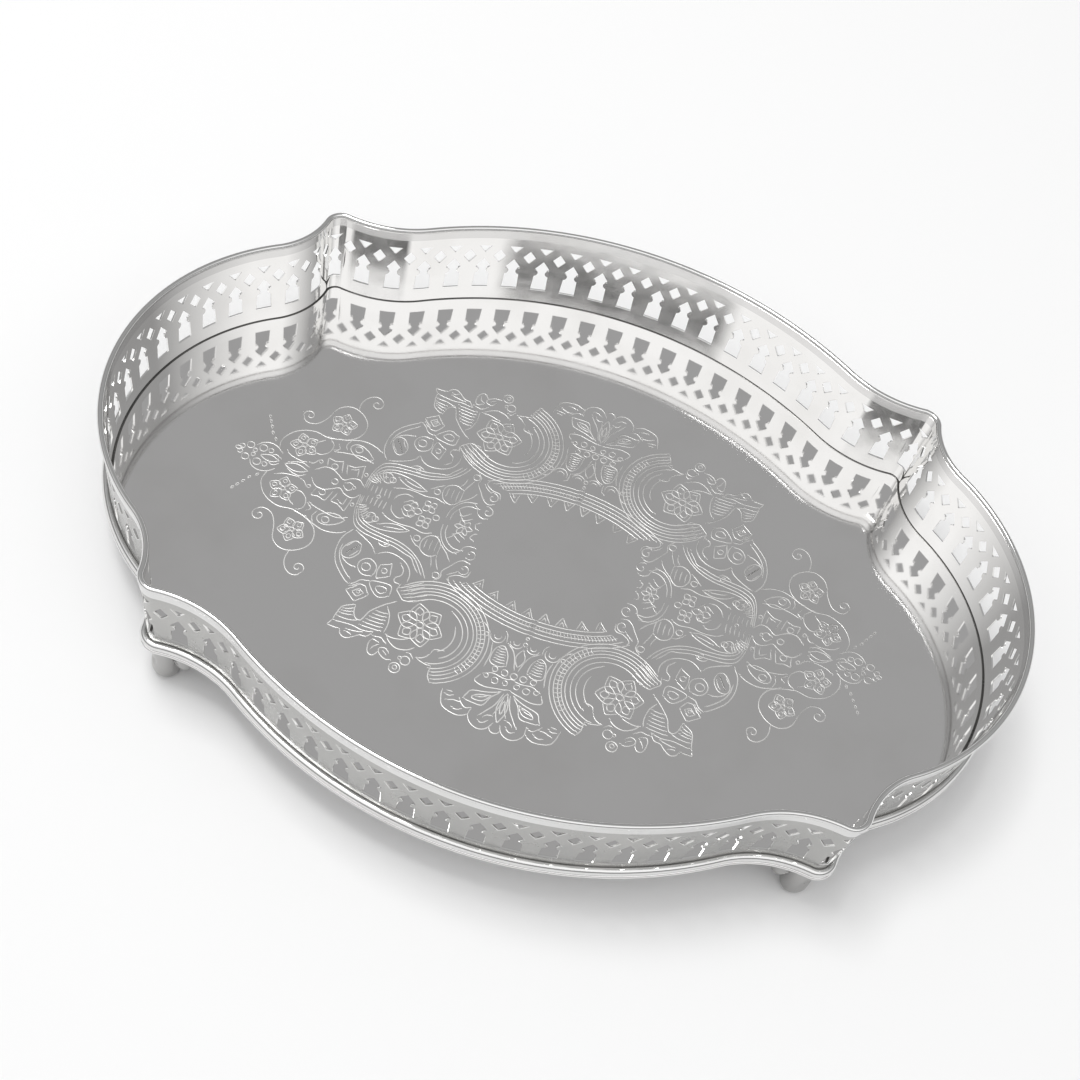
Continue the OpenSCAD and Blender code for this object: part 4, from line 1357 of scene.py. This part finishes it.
class TRAY_OT_seams(bpy.types.Operator):
    """Builds the solder in the three seams round the foot of the wall, coloured near black as painted
    crevice shade
    """
    bl_idname = "tray.seams"
    bl_label = "Solder Seams"

    def execute(self, context):
        wall, trim = context.scene.tray_wall, context.scene.tray_trim
        # Painted crevice shade: the solder pieces are given a near-black colour where the seams' gaps lie in
        # shade
        solder = silver_plate("solder_painted_shade", "seam_shade_tone", 0.3, 0.02, 6, 0.01)
        base, out = stations(layout().loop)
        sections = {"inside": seam_section(trim), "ledge": ledge_section(trim),
                    "collar": collar_section(wall, trim)}
        for name, section in sections.items():
            verts, faces = swept(base[:-1], out[:-1], section, True)
            finish_piece(add_piece(f"solder_seam_{name}", verts, faces), solder, "silver_gallery")
        return {"FINISHED"}


class TRAY_OT_feet(bpy.types.Operator):
    """Builds the four cast feet"""
    bl_idname = "tray.feet"
    bl_label = "Cast Feet"

    def execute(self, context):
        plan = layout()
        cast = silver_plate("cast_plate", "foot_tone", 0.16, 0.05, 4, 0.01)
        for corner in CORNERS:
            way = (1 if "right" in corner else -1, 1 if "back" in corner else -1)
            verts, faces = build_foot(context.scene.tray_feet, plan.corner, way)
            piece = add_piece(f"cast_foot_{corner}", verts, faces)
            finish_piece(piece, cast, "silver_feet", f"foot_{corner}")
        return {"FINISHED"}


class TRAY_OT_chasing(bpy.types.Operator):
    """Builds the chased lines of the floor's centre"""
    bl_idname = "tray.chasing"
    bl_label = "Chased Centre"

    def execute(self, context):
        verts, faces = build_chasing(context.scene.tray_chasing)
        cut = silver_plate("cut_silver", "line_tone", 0.42, 0.01, 3, 0.01)
        finish_piece(add_piece("chased_centre", verts, faces, 60), cut, "floor_plate")
        return {"FINISHED"}


class TRAY_OT_stage(bpy.types.Operator):
    """Sets up the table, the studio light and the camera"""
    bl_idname = "tray.stage"
    bl_label = "Stage"

    def execute(self, context):
        tones = finish()
        add_camera()
        add_table(tones.cloth_tone)
        add_studio(tones.sky_tone)
        add_softbox("key", KEY_PLACE, (0, 0, FLOOR_TOP), KEY_SIZE, KEY_WATTS)
        context.scene.view_settings.view_transform = "Standard"
        return {"FINISHED"}


class TRAY_PT_panel(bpy.types.Panel):
    """Lists the tray's sizes and the steps that build it"""
    bl_label = "Gallery Tray"
    bl_idname = "TRAY_PT_panel"
    bl_space_type = "VIEW_3D"
    bl_region_type = "UI"
    bl_category = "Tray"

    def draw(self, context):
        for group in GROUPS:
            box = self.layout.box()
            box.label(text=group.__doc__)
            values = getattr(context.scene, scene_name(group))
            for name in group.__annotations__:
                box.prop(values, name)
        for step in STEPS:
            self.layout.operator(step.bl_idname)


GROUPS = (TrayPan, TrayWall, TrayTrim, TrayFeet, TrayChasing, TrayFinish)
STEPS = (TRAY_OT_stage, TRAY_OT_pan, TRAY_OT_gallery, TRAY_OT_trim, TRAY_OT_seams, TRAY_OT_feet,
         TRAY_OT_chasing)


def scene_name(group):
    """The scene's name for a group of values: TrayPan is kept as tray_pan."""
    return "tray_" + group.__name__.removeprefix("Tray").lower()


def register():
    """Adds the value groups, the steps and the panel."""
    for item in (*GROUPS, *STEPS, TRAY_PT_panel):
        bpy.utils.register_class(item)
    for group in GROUPS:
        setattr(bpy.types.Scene, scene_name(group), bpy.props.PointerProperty(type=group))


def unregister():
    """Takes them away again."""
    for group in GROUPS:
        delattr(bpy.types.Scene, scene_name(group))
    for item in reversed((*GROUPS, *STEPS, TRAY_PT_panel)):
        bpy.utils.unregister_class(item)


def main():
    """Registers the steps and runs each of them, which builds the tray."""
    register()
    for step in STEPS:
        group, name = step.bl_idname.split(".")
        getattr(getattr(bpy.ops, group), name)()


if __name__ == "__main__":
    main()
